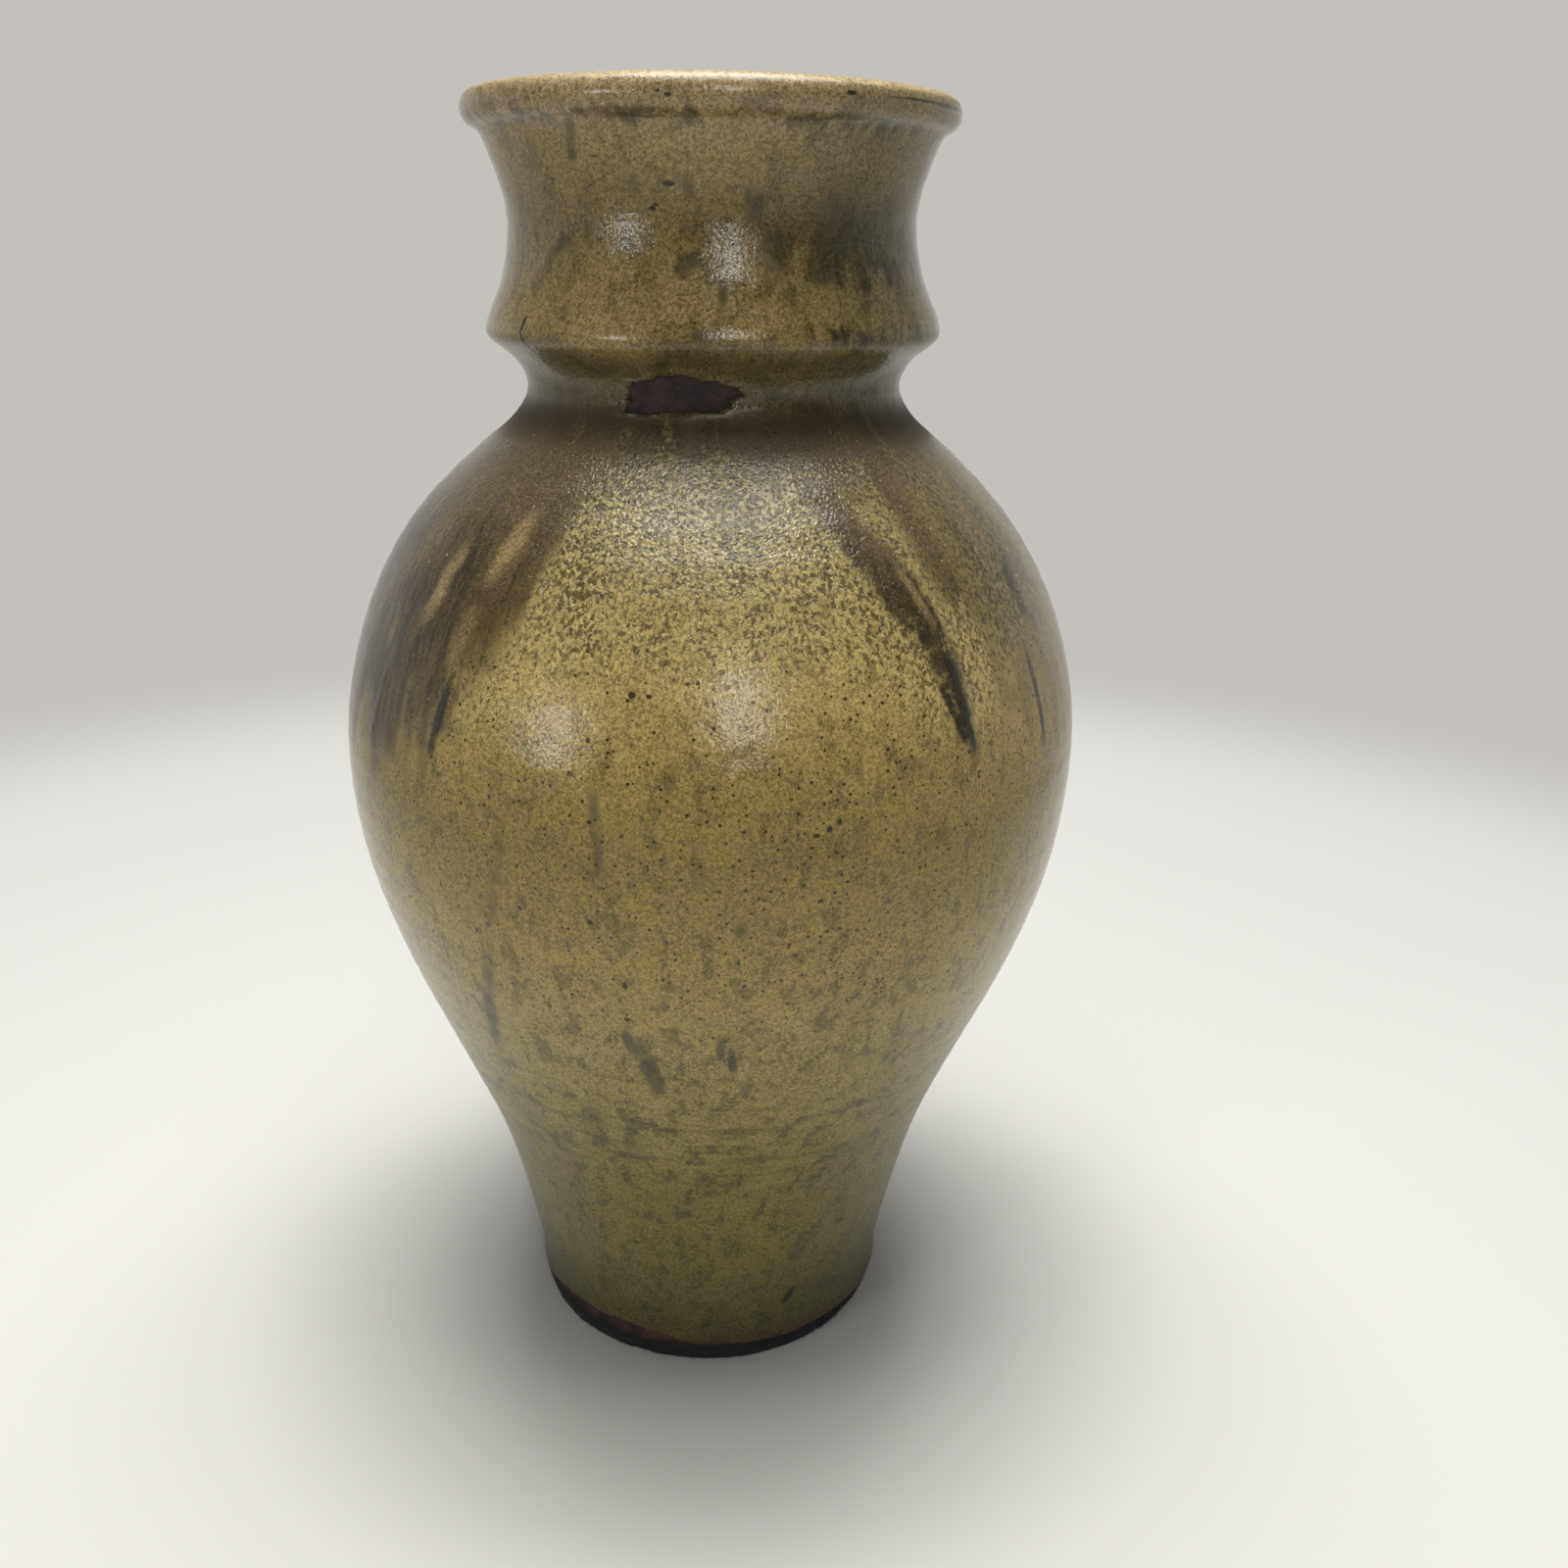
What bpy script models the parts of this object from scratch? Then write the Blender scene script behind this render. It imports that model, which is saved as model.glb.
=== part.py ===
"""A tall wheel-thrown stoneware vase, standing on a felt pad, as separate solids.

The potter throws the pot in sections and lutes them together: a turned base, a
lower wall, a shoulder, and a collar with a raised ridge, finished by a rolled rim.
A glaze coat covers the outside down to just above the foot, and has crawled away
from one patch of the neck. A liner glaze covers the inside.

Metres, +Z up. The origin is the middle of the pad's underside, and the front of
the pot, where the glaze has crawled, faces -Y.
"""

import math

import bmesh
import bpy
from mathutils import Matrix, Vector

MM = 0.001  # sections are drawn in millimetres

# Driving dimensions, in millimetres
HEIGHT = 380.0  # from under the pad to the crest of the rim
PAD_THICKNESS, PAD_RADIUS, PAD_EDGE = 3.5, 57.1, 0.5
JOINT_GAP = 0.3  # between neighbouring solids
GLAZE = 0.8  # thickness of either glaze coat
WALL = 6.5  # from the glazed outside to the glazed inside
FOOT_RADIUS = 58.4  # of the turned foot, in bare clay
FOOT_CHAMFER = 0.8
FOOT_RING_WIDTH, FOOT_RECESS, RECESS_SLOPE = 11.0, 3.0, 1.5
GLAZE_START = 7.5  # height of the outer glaze's lower edge
FLOOR_TOP = 14.0
FLOOR_CORNER = 11.0  # radius inside, where the floor turns up into the wall
RIDGE_LOW, RIDGE_HIGH, RIDGE_RADIUS = 318.0, 322.0, 64.4  # the ridge's short outer face
RIM_ROLL = 4.7  # section radius of the rolled rim
RIM_ROLL_CIRCLE = 63.6  # radius of the circle that the roll's middle runs on

# Heights at which the thrown sections are luted together
BASE_JOINT, BELLY_JOINT, NECK_JOINT, RIM_JOINT = 24.0, 196.0, 292.0, 366.0

# The glazed outside, as (height, radius), from the foot's wall to under the ridge
BODY_STATIONS = (
    (GLAZE_START - 0.5, 58.9),
    (16.0, 59.2),
    (40.0, 64.1),
    (72.0, 72.4),
    (104.0, 85.1),
    (136.0, 98.5),
    (168.0, 108.0),
    (200.0, 111.2),
    (224.0, 108.3),
    (248.0, 99.8),
    (270.0, 85.8),
    (288.0, 67.0),
    (296.0, 57.6),
    (304.0, 53.5),
    (311.0, 56.4),
    (RIDGE_LOW, RIDGE_RADIUS),
)
# From the ridge up to the groove under the rolled rim
COLLAR_STATIONS = ((RIDGE_HIGH, 64.2), (334.0, 59.2), (350.0, 57.1), (362.0, 60.4), (370.5, 64.2))
# The glazed inside of the neck and collar, up to the roll
THROAT_STATIONS = ((292.0, 52.4), (304.0, 47.2), (320.0, 52.0), (350.0, 51.2), (362.0, 54.2), (372.0, 58.4))

# The patch that the glaze has crawled away from, and how far it is turned from the front
PATCH_HEIGHT, PATCH_WIDE, PATCH_TALL, PATCH_TURN = 305.8, 31.0, 8.5, -9.0
PATCH_CORNERS = 20

SEGMENTS = 32
OUTER_STEP, INNER_STEP = 17.0, 34.0  # longest straight line along a turned curve
ROLL_STEPS = 6
SLIVER = 0.4  # a point nearer than this to a cut is left out

Outline = list[tuple[float, float]]  # (radius, height)


def clear_scene() -> None:
    for thing in list(bpy.data.objects):
        bpy.data.objects.remove(thing, do_unlink=True)


def finish(name: str, colour: tuple, roughness: float, coat: float = 0.0) -> bpy.types.Material:
    """A plain Principled material."""
    material = bpy.data.materials.new(name)
    material.use_nodes = True
    sockets = material.node_tree.nodes["Principled BSDF"].inputs
    sockets["Base Color"].default_value = (*colour, 1.0)
    sockets["Roughness"].default_value = roughness
    sockets["Metallic"].default_value = 0.0
    sockets["Coat Weight"].default_value = coat
    return material


def smooth_curve(stations: tuple, longest: float) -> Outline:
    """A Catmull-Rom curve through (height, radius) stations, as (radius, height) points."""
    points = [Vector((radius, height)) for height, radius in stations]
    points = [2 * points[0] - points[1], *points, 2 * points[-1] - points[-2]]
    curve = []
    for a, b, c, d in zip(points, points[1:], points[2:], points[3:]):
        steps = math.ceil((c - b).length / longest)
        for t in (step / steps for step in range(steps)):
            bend = (2 * a - 5 * b + 4 * c - d) * t**2 + (3 * b - a - 3 * c + d) * t**3
            curve.append(tuple(b + 0.5 * ((c - a) * t + bend)))
    return [*curve, tuple(points[-2])]


def arc(centre: tuple, radius: float, start: float, end: float, steps: int) -> Outline:
    """Points on a circle, from one angle in degrees to the other."""
    angles = [math.radians(start + (end - start) * i / steps) for i in range(steps + 1)]
    return [(centre[0] + radius * math.cos(a), centre[1] + radius * math.sin(a)) for a in angles]


def set_in(outline: Outline, depth: float) -> Outline:
    """The outline moved to its left, as seen when walking along it, with mitred corners."""
    runs = [Vector(b) - Vector(a) for a, b in zip(outline, outline[1:])]
    sides = [Vector((-run.y, run.x)).normalized() for run in runs]
    moved = []
    for point, before, after in zip(outline, [sides[0], *sides], [*sides, sides[-1]]):
        mitre = (before + after).normalized()
        moved.append(tuple(Vector(point) + mitre * depth / mitre.dot(before)))
    return moved


def outside() -> Outline:
    """The glazed outside, rising from the foot to the crest of the rolled rim."""
    roll = arc((RIM_ROLL_CIRCLE, HEIGHT - RIM_ROLL), RIM_ROLL, -60, 90, ROLL_STEPS)
    return smooth_curve(BODY_STATIONS, OUTER_STEP) + smooth_curve(COLLAR_STATIONS, OUTER_STEP) + roll


def inside() -> Outline:
    """The glazed inside, rising from the middle of the floor to just short of the crest."""
    floor_edge = FOOT_RADIUS - WALL - FLOOR_CORNER
    corner = arc((floor_edge, FLOOR_TOP + FLOOR_CORNER), FLOOR_CORNER, -90, -15, 4)
    above_corner, below_throat = FLOOR_TOP + 1.5 * FLOOR_CORNER, THROAT_STATIONS[0][0] - 5
    wall = set_in(smooth_curve(BODY_STATIONS, INNER_STEP), WALL)
    wall = [point for point in wall if above_corner < point[1] < below_throat]
    roll = arc((RIM_ROLL_CIRCLE, HEIGHT - RIM_ROLL), RIM_ROLL, 170, 90, ROLL_STEPS - 2)
    return [(0.0, FLOOR_TOP)] + corner + wall + smooth_curve(THROAT_STATIONS, INNER_STEP) + roll[:-1]


def cut_at(line: Outline, height: float) -> tuple[float, float]:
    """Where a rising line passes a height."""
    for (r0, z0), (r1, z1) in zip(line, line[1:]):
        if z0 <= height < z1:
            return (r0 + (r1 - r0) * (height - z0) / (z1 - z0), height)
    raise ValueError(f"the line does not reach {height} mm")


def above(line: Outline, low: float) -> Outline:
    """The stretch of a rising line above a cut."""
    return [cut_at(line, low), *(p for p in line if p[1] > low + SLIVER)]


def below(line: Outline, high: float) -> Outline:
    """The stretch of a rising line under a cut."""
    return [*(p for p in line if p[1] < high - SLIVER), cut_at(line, high)]


class Layers:
    """The surface of the pot and the surfaces under its glaze, each as two rising lines."""

    def __init__(self) -> None:
        out = outside()
        whole = out + inside()[::-1]
        self.crest = len(out) - 1
        self.glazed = whole
        self.under_glaze = set_in(whole, GLAZE)
        self.clay = set_in(whole, GLAZE + JOINT_GAP)

    def rising(self, surface: Outline) -> tuple[Outline, Outline]:
        """A surface's outer line and its inner line, both from low to high."""
        return surface[: self.crest + 1], surface[self.crest :][::-1]


def short_of_end(line: Outline) -> Outline:
    """The line, stopped half a joint gap before its end."""
    last, before = Vector(line[-1]), Vector(line[-2])
    return [*line[:-1], tuple(last + (before - last).normalized() * JOINT_GAP / 2)]


def turned(name: str, section: Outline, material: bpy.types.Material) -> bpy.types.Object:
    """A solid turned from a section that rises on its inner side and falls on its outer side.

    A section that starts and ends on the axis is open, and any other is closed here.
    """
    edges = [(i, i + 1) for i in range(len(section) - 1)]
    if section[0][0] > 0:
        edges.append((len(section) - 1, 0))
    mesh = bpy.data.meshes.new(name)
    mesh.from_pydata([(radius * MM, 0, height * MM) for radius, height in section], edges, [])
    mesh.materials.append(material)
    solid = bpy.data.objects.new(name, mesh)
    bpy.context.scene.collection.objects.link(solid)
    screw = solid.modifiers.new("Turn", "SCREW")
    screw.steps = screw.render_steps = SEGMENTS
    screw.use_merge_vertices = True
    screw.merge_threshold = 0.00001
    screw.use_smooth_shade = True
    return solid


def felt_pad(felt: bpy.types.Material) -> None:
    edge = PAD_RADIUS - PAD_EDGE
    section = [(0.0, PAD_THICKNESS), (edge, PAD_THICKNESS), (PAD_RADIUS, PAD_THICKNESS - PAD_EDGE)]
    section += [(PAD_RADIUS, PAD_EDGE), (edge, 0.0), (0.0, 0.0)]
    turned("felt_pad", section, felt)


def turned_base(layers: Layers, clay: bpy.types.Material) -> None:
    """The floor, the start of the wall and the foot ring, turned out underneath."""
    outer, inner = layers.rising(layers.clay)
    top = BASE_JOINT - JOINT_GAP / 2
    bottom = PAD_THICKNESS + JOINT_GAP
    fall = below(above(outer, GLAZE_START + JOINT_GAP), top)[::-1]
    foot = [(FOOT_RADIUS, GLAZE_START - JOINT_GAP), (FOOT_RADIUS, bottom + FOOT_CHAMFER)]
    foot += [(FOOT_RADIUS - FOOT_CHAMFER, bottom)]
    ring = FOOT_RADIUS - FOOT_RING_WIDTH
    recess = [(ring, bottom), (ring - RECESS_SLOPE, bottom + FOOT_RECESS), (0.0, bottom + FOOT_RECESS)]
    turned("turned_base", below(inner, top) + fall + foot + recess, clay)


def thrown_ring(name: str, layers: Layers, low: float, high: float, clay: bpy.types.Material) -> None:
    """A ring of clay wall between two luted joints."""
    outer, inner = layers.rising(layers.clay)
    low, high = low + JOINT_GAP / 2, high - JOINT_GAP / 2
    rise, fall = (below(above(line, low), high) for line in (inner, outer))
    turned(name, rise + fall[::-1], clay)


def rolled_rim(layers: Layers, clay: bpy.types.Material) -> None:
    """The lip above the collar, rolled outwards into a bead."""
    outer, inner = layers.rising(layers.clay)
    low = RIM_JOINT + JOINT_GAP / 2
    turned("rolled_rim", above(inner, low) + above(outer, low)[-2::-1], clay)


def outer_glaze(layers: Layers, glass: bpy.types.Material) -> bpy.types.Object:
    """The coat on the outside, from its edge above the foot to the crest of the rim."""
    skin, back = (
        short_of_end(above(layers.rising(surface)[0], GLAZE_START + JOINT_GAP))
        for surface in (layers.glazed, layers.under_glaze)
    )
    return turned("outer_glaze", back + skin[::-1], glass)


def liner_glaze(layers: Layers, glass: bpy.types.Material) -> None:
    """The coat on the inside, a cup of glass from the floor to the crest of the rim."""
    _, skin = layers.rising(layers.glazed)
    _, back = layers.rising(layers.under_glaze)
    turned("liner_glaze", short_of_end(skin) + short_of_end(back)[::-1], glass)


def crawl_patch(coat: bpy.types.Object) -> None:
    """Opens the coat where the glaze crawled back, with an uneven oval cutter."""
    reach = 25.0  # along the cutter, enough to pass right through the coat
    cut = bmesh.new()
    bmesh.ops.create_cone(
        cut, cap_ends=True, segments=PATCH_CORNERS, radius1=1, radius2=1, depth=reach * MM
    )
    for corner in cut.verts:
        angle = math.atan2(corner.co.y, corner.co.x)
        uneven = 1 + 0.10 * math.sin(3 * angle + 0.6) + 0.05 * math.sin(5 * angle)
        corner.co.x *= uneven * PATCH_WIDE / 2 * MM
        corner.co.y *= uneven * PATCH_TALL / 2 * MM
    turn = Matrix.Rotation(math.radians(PATCH_TURN), 4, "Z")
    out = Matrix.Translation((0, -RIDGE_RADIUS * MM, PATCH_HEIGHT * MM))
    cut.transform(turn @ out @ Matrix.Rotation(math.radians(90), 4, "X"))
    mesh = bpy.data.meshes.new("crawl_cutter")
    cut.to_mesh(mesh)
    cut.free()
    cutter = bpy.data.objects.new("crawl_cutter", mesh)
    bpy.context.scene.collection.objects.link(cutter)
    cutter.hide_render = True
    cutter.display_type = "WIRE"
    opening = coat.modifiers.new("Crawled patch", "BOOLEAN")
    opening.operation = "DIFFERENCE"
    opening.solver = "EXACT"
    opening.object = cutter


def main() -> None:
    clear_scene()
    clay = finish("iron stoneware", (0.16, 0.09, 0.06), 0.85)
    honey = finish("honey glaze", (0.36, 0.25, 0.09), 0.35, coat=0.3)
    liner = finish("liner glaze", (0.22, 0.14, 0.07), 0.3, coat=0.3)
    felt = finish("black felt", (0.012, 0.012, 0.013), 1.0)

    layers = Layers()
    felt_pad(felt)
    turned_base(layers, clay)
    thrown_ring("lower_wall", layers, BASE_JOINT, BELLY_JOINT, clay)
    thrown_ring("shoulder", layers, BELLY_JOINT, NECK_JOINT, clay)
    thrown_ring("ridged_collar", layers, NECK_JOINT, RIM_JOINT, clay)
    rolled_rim(layers, clay)
    crawl_patch(outer_glaze(layers, honey))
    liner_glaze(layers, liner)


main()
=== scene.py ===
"""The looks of a tall wheel-thrown stoneware vase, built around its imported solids.

Lengths are millimetres and angles degrees, unless a name says otherwise. Azimuth runs round
the pot from its front, which faces -Y, and is positive towards +X.
"""

import logging
import math
from dataclasses import dataclass, field
from enum import Enum
from typing import Any, Callable, Sequence, Union

import bpy
import numpy as np
from mathutils import Matrix, Vector


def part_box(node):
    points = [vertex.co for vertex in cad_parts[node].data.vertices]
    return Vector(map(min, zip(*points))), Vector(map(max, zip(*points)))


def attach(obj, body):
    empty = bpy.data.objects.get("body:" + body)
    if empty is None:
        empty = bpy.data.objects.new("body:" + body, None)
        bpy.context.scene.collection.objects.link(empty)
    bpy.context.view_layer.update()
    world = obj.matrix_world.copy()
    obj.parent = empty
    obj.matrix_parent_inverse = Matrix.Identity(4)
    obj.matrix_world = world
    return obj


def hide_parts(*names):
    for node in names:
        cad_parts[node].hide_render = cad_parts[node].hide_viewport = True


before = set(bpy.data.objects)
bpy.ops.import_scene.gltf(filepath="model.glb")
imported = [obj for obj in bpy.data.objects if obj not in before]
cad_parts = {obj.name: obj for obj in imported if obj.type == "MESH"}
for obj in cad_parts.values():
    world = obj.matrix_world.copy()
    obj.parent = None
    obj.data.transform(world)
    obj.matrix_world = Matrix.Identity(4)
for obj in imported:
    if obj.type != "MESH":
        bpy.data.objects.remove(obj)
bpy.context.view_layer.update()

MM = 0.001
BODY = "root"
SEED = 20
POT_HEIGHT = 380.0
WHOLE_TURN = 6.28  # the widest phase drawn, in radians
ON_PLANE = 0.02  # a corner nearer than this to the plane of a section lies on it
OUTSIDE = 99.0  # stands for far outside an edge
BLACK = (0, 0, 0)
log = logging.getLogger("vase")

Line = np.ndarray  # rows of (radius, height)
Table = tuple[tuple[float, float], ...]  # (where, how much) pairs, read in between as well
Colour = tuple[int, int, int]  # sRGB, 0 to 255
Amount = Union[float, np.ndarray, "Wire"]


# ---------------------------------------------------------------------------
# Shader maths
# ---------------------------------------------------------------------------


def _joined(operation: str, swapped: bool = False) -> Callable[["Wire", Amount], "Wire"]:
    """A method of Wire that joins it to another amount.

    Args:
        operation: The Math node's operation.
        swapped: Whether the other amount comes first.

    Returns:
        The method.
    """

    def method(self: "Wire", other: Amount) -> "Wire":
        """Self and other, joined by one Math node."""
        return self._maths(operation, *((other, self) if swapped else (self, other)))

    return method


class Wire:
    """One shader socket. An expression on wires adds its Math nodes to their board.

    The usual signs stand for the usual sums, and | is the larger of two amounts.
    """

    def __init__(self, board: "Board", socket: bpy.types.NodeSocket) -> None:
        """Wraps an output socket of a node on a board."""
        self.board = board
        self.socket = socket

    def _maths(self, operation: str, *values: Amount) -> "Wire":
        """A Math node on these values."""
        return self.board.node("ShaderNodeMath", {"operation": operation}, dict(enumerate(values)))

    def __abs__(self) -> "Wire":
        """The size of self, without its sign."""
        return self._maths("ABSOLUTE", self)

    __add__, __radd__ = _joined("ADD"), _joined("ADD", True)
    __sub__, __rsub__ = _joined("SUBTRACT"), _joined("SUBTRACT", True)
    __mul__, __rmul__ = _joined("MULTIPLY"), _joined("MULTIPLY", True)
    __truediv__, __rtruediv__ = _joined("DIVIDE"), _joined("DIVIDE", True)
    __or__ = _joined("MAXIMUM")

    def root(self) -> "Wire":
        """The square root of self."""
        return self._maths("SQRT", self)

    def turn_from(self, other: "Wire") -> "Wire":
        """The angle, in degrees, of the point that is self across and other along."""
        return self._maths("ARCTAN2", self, other) * math.degrees(1.0)

    def rise(self, low: float, high: float) -> "Wire":
        """A smooth step from 0 where self is low to 1 where it is high.

        Args:
            low: The value of self at which the step starts.
            high: The value at which it ends, which may be the smaller one.

        Returns:
            A wire from 0 to 1.
        """
        inputs = {"Value": self, "From Min": low, "From Max": high}
        return self.board.node("ShaderNodeMapRange", {"interpolation_type": "SMOOTHSTEP"}, inputs)

    def xyz(self) -> tuple["Wire", "Wire", "Wire"]:
        """The three parts of a vector."""
        x = self.board.node("ShaderNodeSeparateXYZ", None, {0: self})
        return x, x.sibling(1), x.sibling(2)

    def round_axis(self) -> tuple["Wire", "Wire", "Wire"]:
        """The radius, azimuth and height of a point."""
        x, y, height = self.xyz()
        return (x * x + y * y).root(), x.turn_from(y * -1.0), height

    def sibling(self, output: Union[int, str]) -> "Wire":
        """Another output of the same node."""
        return Wire(self.board, self.socket.node.outputs[output])


def linear(colour: Colour) -> tuple[float, float, float, float]:
    """An sRGB colour, 0 to 255, as the linear colour with alpha that a socket takes."""
    parts = [part / 255 for part in colour]
    return (*(p / 12.92 if p <= 0.04045 else ((p + 0.055) / 1.055) ** 2.4 for p in parts), 1.0)


class Board:
    """The node tree of one material or world, and what is laid out on it."""

    def __init__(self, owner: Union[bpy.types.Material, bpy.types.World]) -> None:
        """Clears the tree of a new material or world."""
        self.owner = owner
        owner.use_nodes = True
        self.tree = owner.node_tree
        self.tree.nodes.clear()

    @staticmethod
    def of(name: str) -> "Board":
        """The empty board of a new material of this name."""
        return Board(bpy.data.materials.new(name))

    def node(
        self,
        kind: str,
        settings: dict[str, Any] | None = None,
        inputs: dict[Any, Any] | None = None,
        output: Union[int, str] = 0,
    ) -> Wire:
        """Adds one node.

        Args:
            kind: Blender's name for the node's type.
            settings: Properties to set first. "stops" are a ramp's (position, colour) pairs.
            inputs: A number, colour or wire for each socket, by name or index.
            output: The output to return, by name or index.

        Returns:
            The wire that leaves the chosen output.
        """
        made = self.tree.nodes.new(kind)
        for name, value in (settings or {}).items():
            if name == "stops":
                self._set_stops(made.color_ramp, value)
            else:
                setattr(made, name, value)
        for key, value in (inputs or {}).items():
            if isinstance(value, Wire):
                self.tree.links.new(value.socket, made.inputs[key])
            else:
                made.inputs[key].default_value = value
        return Wire(self, made.outputs[output])

    @staticmethod
    def _set_stops(ramp: bpy.types.ColorRamp, stops: Sequence[tuple[float, Any]]) -> None:
        """Gives a colour ramp its stops, in rising order."""
        while len(ramp.elements) < len(stops):
            ramp.elements.new(1.0)
        for element, (position, colour) in zip(ramp.elements, stops):
            element.position = position
            element.color = colour

    def mix(self, share: Amount, first: Union[Wire, Colour], second: Union[Wire, Colour],
            blend: str = "MIX") -> Wire:
        """Mixes two colours.

        Args:
            share: How much of the second colour shows, 0 to 1.
            first: A wire or a colour.
            second: A wire or a colour.
            blend: The Mix node's blend type.

        Returns:
            The mixed colour.
        """
        first, second = (part if isinstance(part, Wire) else linear(part) for part in (first, second))
        settings = {"data_type": "RGBA", "blend_type": blend}
        return self.node("ShaderNodeMix", settings, {0: share, 6: first, 7: second}, 2)

    def shaded(self, colour: Wire, shade: Wire) -> Wire:
        """A colour made lighter or darker by a factor."""
        return self.mix(1.0, colour, self.vector(shade, shade, shade), "MULTIPLY")

    def vector(self, x: Amount, y: Amount, z: Amount) -> Wire:
        """A vector of three values."""
        return self.node("ShaderNodeCombineXYZ", None, {0: x, 1: y, 2: z})

    def place(self) -> Wire:
        """The surface point in the piece's own millimetres."""
        metres = self.node("ShaderNodeTexCoord", None, None, "Object")
        inputs = {0: metres, "Scale": 1 / MM}
        return self.node("ShaderNodeVectorMath", {"operation": "SCALE"}, inputs)

    def noise(self, at: Wire, size: float, detail: float = 2.0, rough: float = 0.5,
              twist: float = 0.0) -> Wire:
        """Cloudy noise about 0.5.

        Args:
            at: The point to read it at.
            size: The size of its largest clouds, in the units of the point.
            detail: How many finer octaves it has.
            rough: How strong the finer ones are.
            twist: How much it is distorted.

        Returns:
            A value from 0 to 1.
        """
        inputs = {"Vector": at, "Scale": 1 / size, "Detail": detail, "Roughness": rough,
                  "Distortion": twist}
        return self.node("ShaderNodeTexNoise", None, inputs)

    def squashed(self, at: Wire, share: float) -> Wire:
        """A point with its height times a share, so that noise read there is drawn out upright."""
        x, y, z = at.xyz()
        return self.vector(x, y, z * share)

    def cells(self, at: Wire, size: float) -> Wire:
        """Distance to the nearest of scattered points, in cells. Its siblings say which point."""
        return self.node("ShaderNodeTexVoronoi", None, {"Vector": at, "Scale": 1 / size})

    def specks(self, at: Wire, size: float, smallest: float, largest: float) -> Wire:
        """Round specks of mixed sizes, one to a cell.

        Args:
            at: The point to read them at.
            size: The size of a cell.
            smallest: The radius, in cells, of the smallest; below 0, some cells stay empty.
            largest: The radius, in cells, of the largest.

        Returns:
            1 in a speck and 0 outside, with a short soft edge.
        """
        cell = self.cells(at, size)
        chance = cell.sibling("Color").xyz()[0]
        return (chance * (largest - smallest) + smallest - cell).rise(-0.05, 0.05)

    def painted(self, name: str) -> Wire:
        """A value that the mesh carries at each of its points."""
        return self.node("ShaderNodeAttribute", {"attribute_name": name}, None, "Fac")

    def strayed(self, at: Wire, size: float, reach: float) -> Wire:
        """Points shifted by noise, so that what is read there has wandering edges.

        Args:
            at: The points.
            size: The size of the wanderings.
            reach: How far a point moves, at most.

        Returns:
            The shifted points.
        """
        shift = self.noise(at, size, 3.0, 0.6).sibling(1)
        centred = self.node("ShaderNodeVectorMath", {"operation": "SUBTRACT"}, {0: shift, 1: (0.5,) * 3})
        inputs = {0: centred, 1: (2.0 * reach,) * 3, 2: at}
        return self.node("ShaderNodeVectorMath", {"operation": "MULTIPLY_ADD"}, inputs)

    def bump(self, height: Amount, distance: float, strength: float = 1.0) -> Wire:
        """A normal from a height of 0 to 1 times a distance in millimetres."""
        inputs = {"Height": height, "Distance": distance * MM, "Strength": strength}
        return self.node("ShaderNodeBump", None, inputs)

    def surface(self, sockets: dict[str, Any]) -> bpy.types.Material:
        """Ends the board in a Principled shader.

        Args:
            sockets: A number, colour or wire for each of the shader's sockets.

        Returns:
            The finished material.
        """
        shader = self.node("ShaderNodeBsdfPrincipled", None, sockets)
        return self.ended(shader, "ShaderNodeOutputMaterial")

    def ended(self, shader: Wire, kind: str) -> Any:
        """Joins a shader to an output node of this kind, and returns the material or world."""
        end = self.tree.nodes.new(kind)
        self.tree.links.new(shader.socket, end.inputs["Surface"])
        return self.owner


# ---------------------------------------------------------------------------
# Marks on the glaze, read both by the meshes and by the materials
# ---------------------------------------------------------------------------


class Tint(Enum):
    """What a mark on the glaze is made of."""

    IRON = "black-green, where iron has gathered"
    AMBER = "clear brown glaze, run thick"
    STRAW = "pale opaque glaze"
    SLATE = "thin grey-green smear"


def bell(distance: Amount) -> Amount:
    """A flat-topped bell: 1 at a distance of 0, a half at 1, and then soon nothing."""
    squared = distance * distance
    return 1.0 / (1.0 + squared * squared)


@dataclass(frozen=True)
class Run:
    """A streak where the glaze ran down the wall, faint at its top and full towards its tip.

    Attributes:
        start: Azimuth and height of its top.
        end: Azimuth and height of its tip.
        width: Half its width, in millimetres.
        tint: What it is made of.
        strength: How strongly it shows, 0 to 1.
        bow: How far, in degrees, its middle strays from the straight line.
        proud: How far it stands out from the wall.
    """

    start: tuple[float, float]
    end: tuple[float, float]
    width: float
    tint: Tint
    strength: float = 1.0
    bow: float = 0.0
    proud: float = 0.0

    def amount(self, azimuth: Amount, height: Amount, girth: Amount) -> Amount:
        """How much of the run there is at a point.

        Args:
            azimuth: Of the point.
            height: Of the point.
            girth: Millimetres along the wall for a degree of azimuth there.

        Returns:
            0 to 1.
        """
        (top_turn, top), (tip_turn, tip) = self.start, self.end
        down = (top - height) / (top - tip)
        middle = top_turn + (tip_turn - top_turn) * down
        if self.bow:
            middle = middle + self.bow * 4.0 * down * (1.0 - down)
        across = bell((azimuth - middle) * girth / self.width)
        return self.strength * across * bell((down - 0.58) * 2.3)


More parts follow.
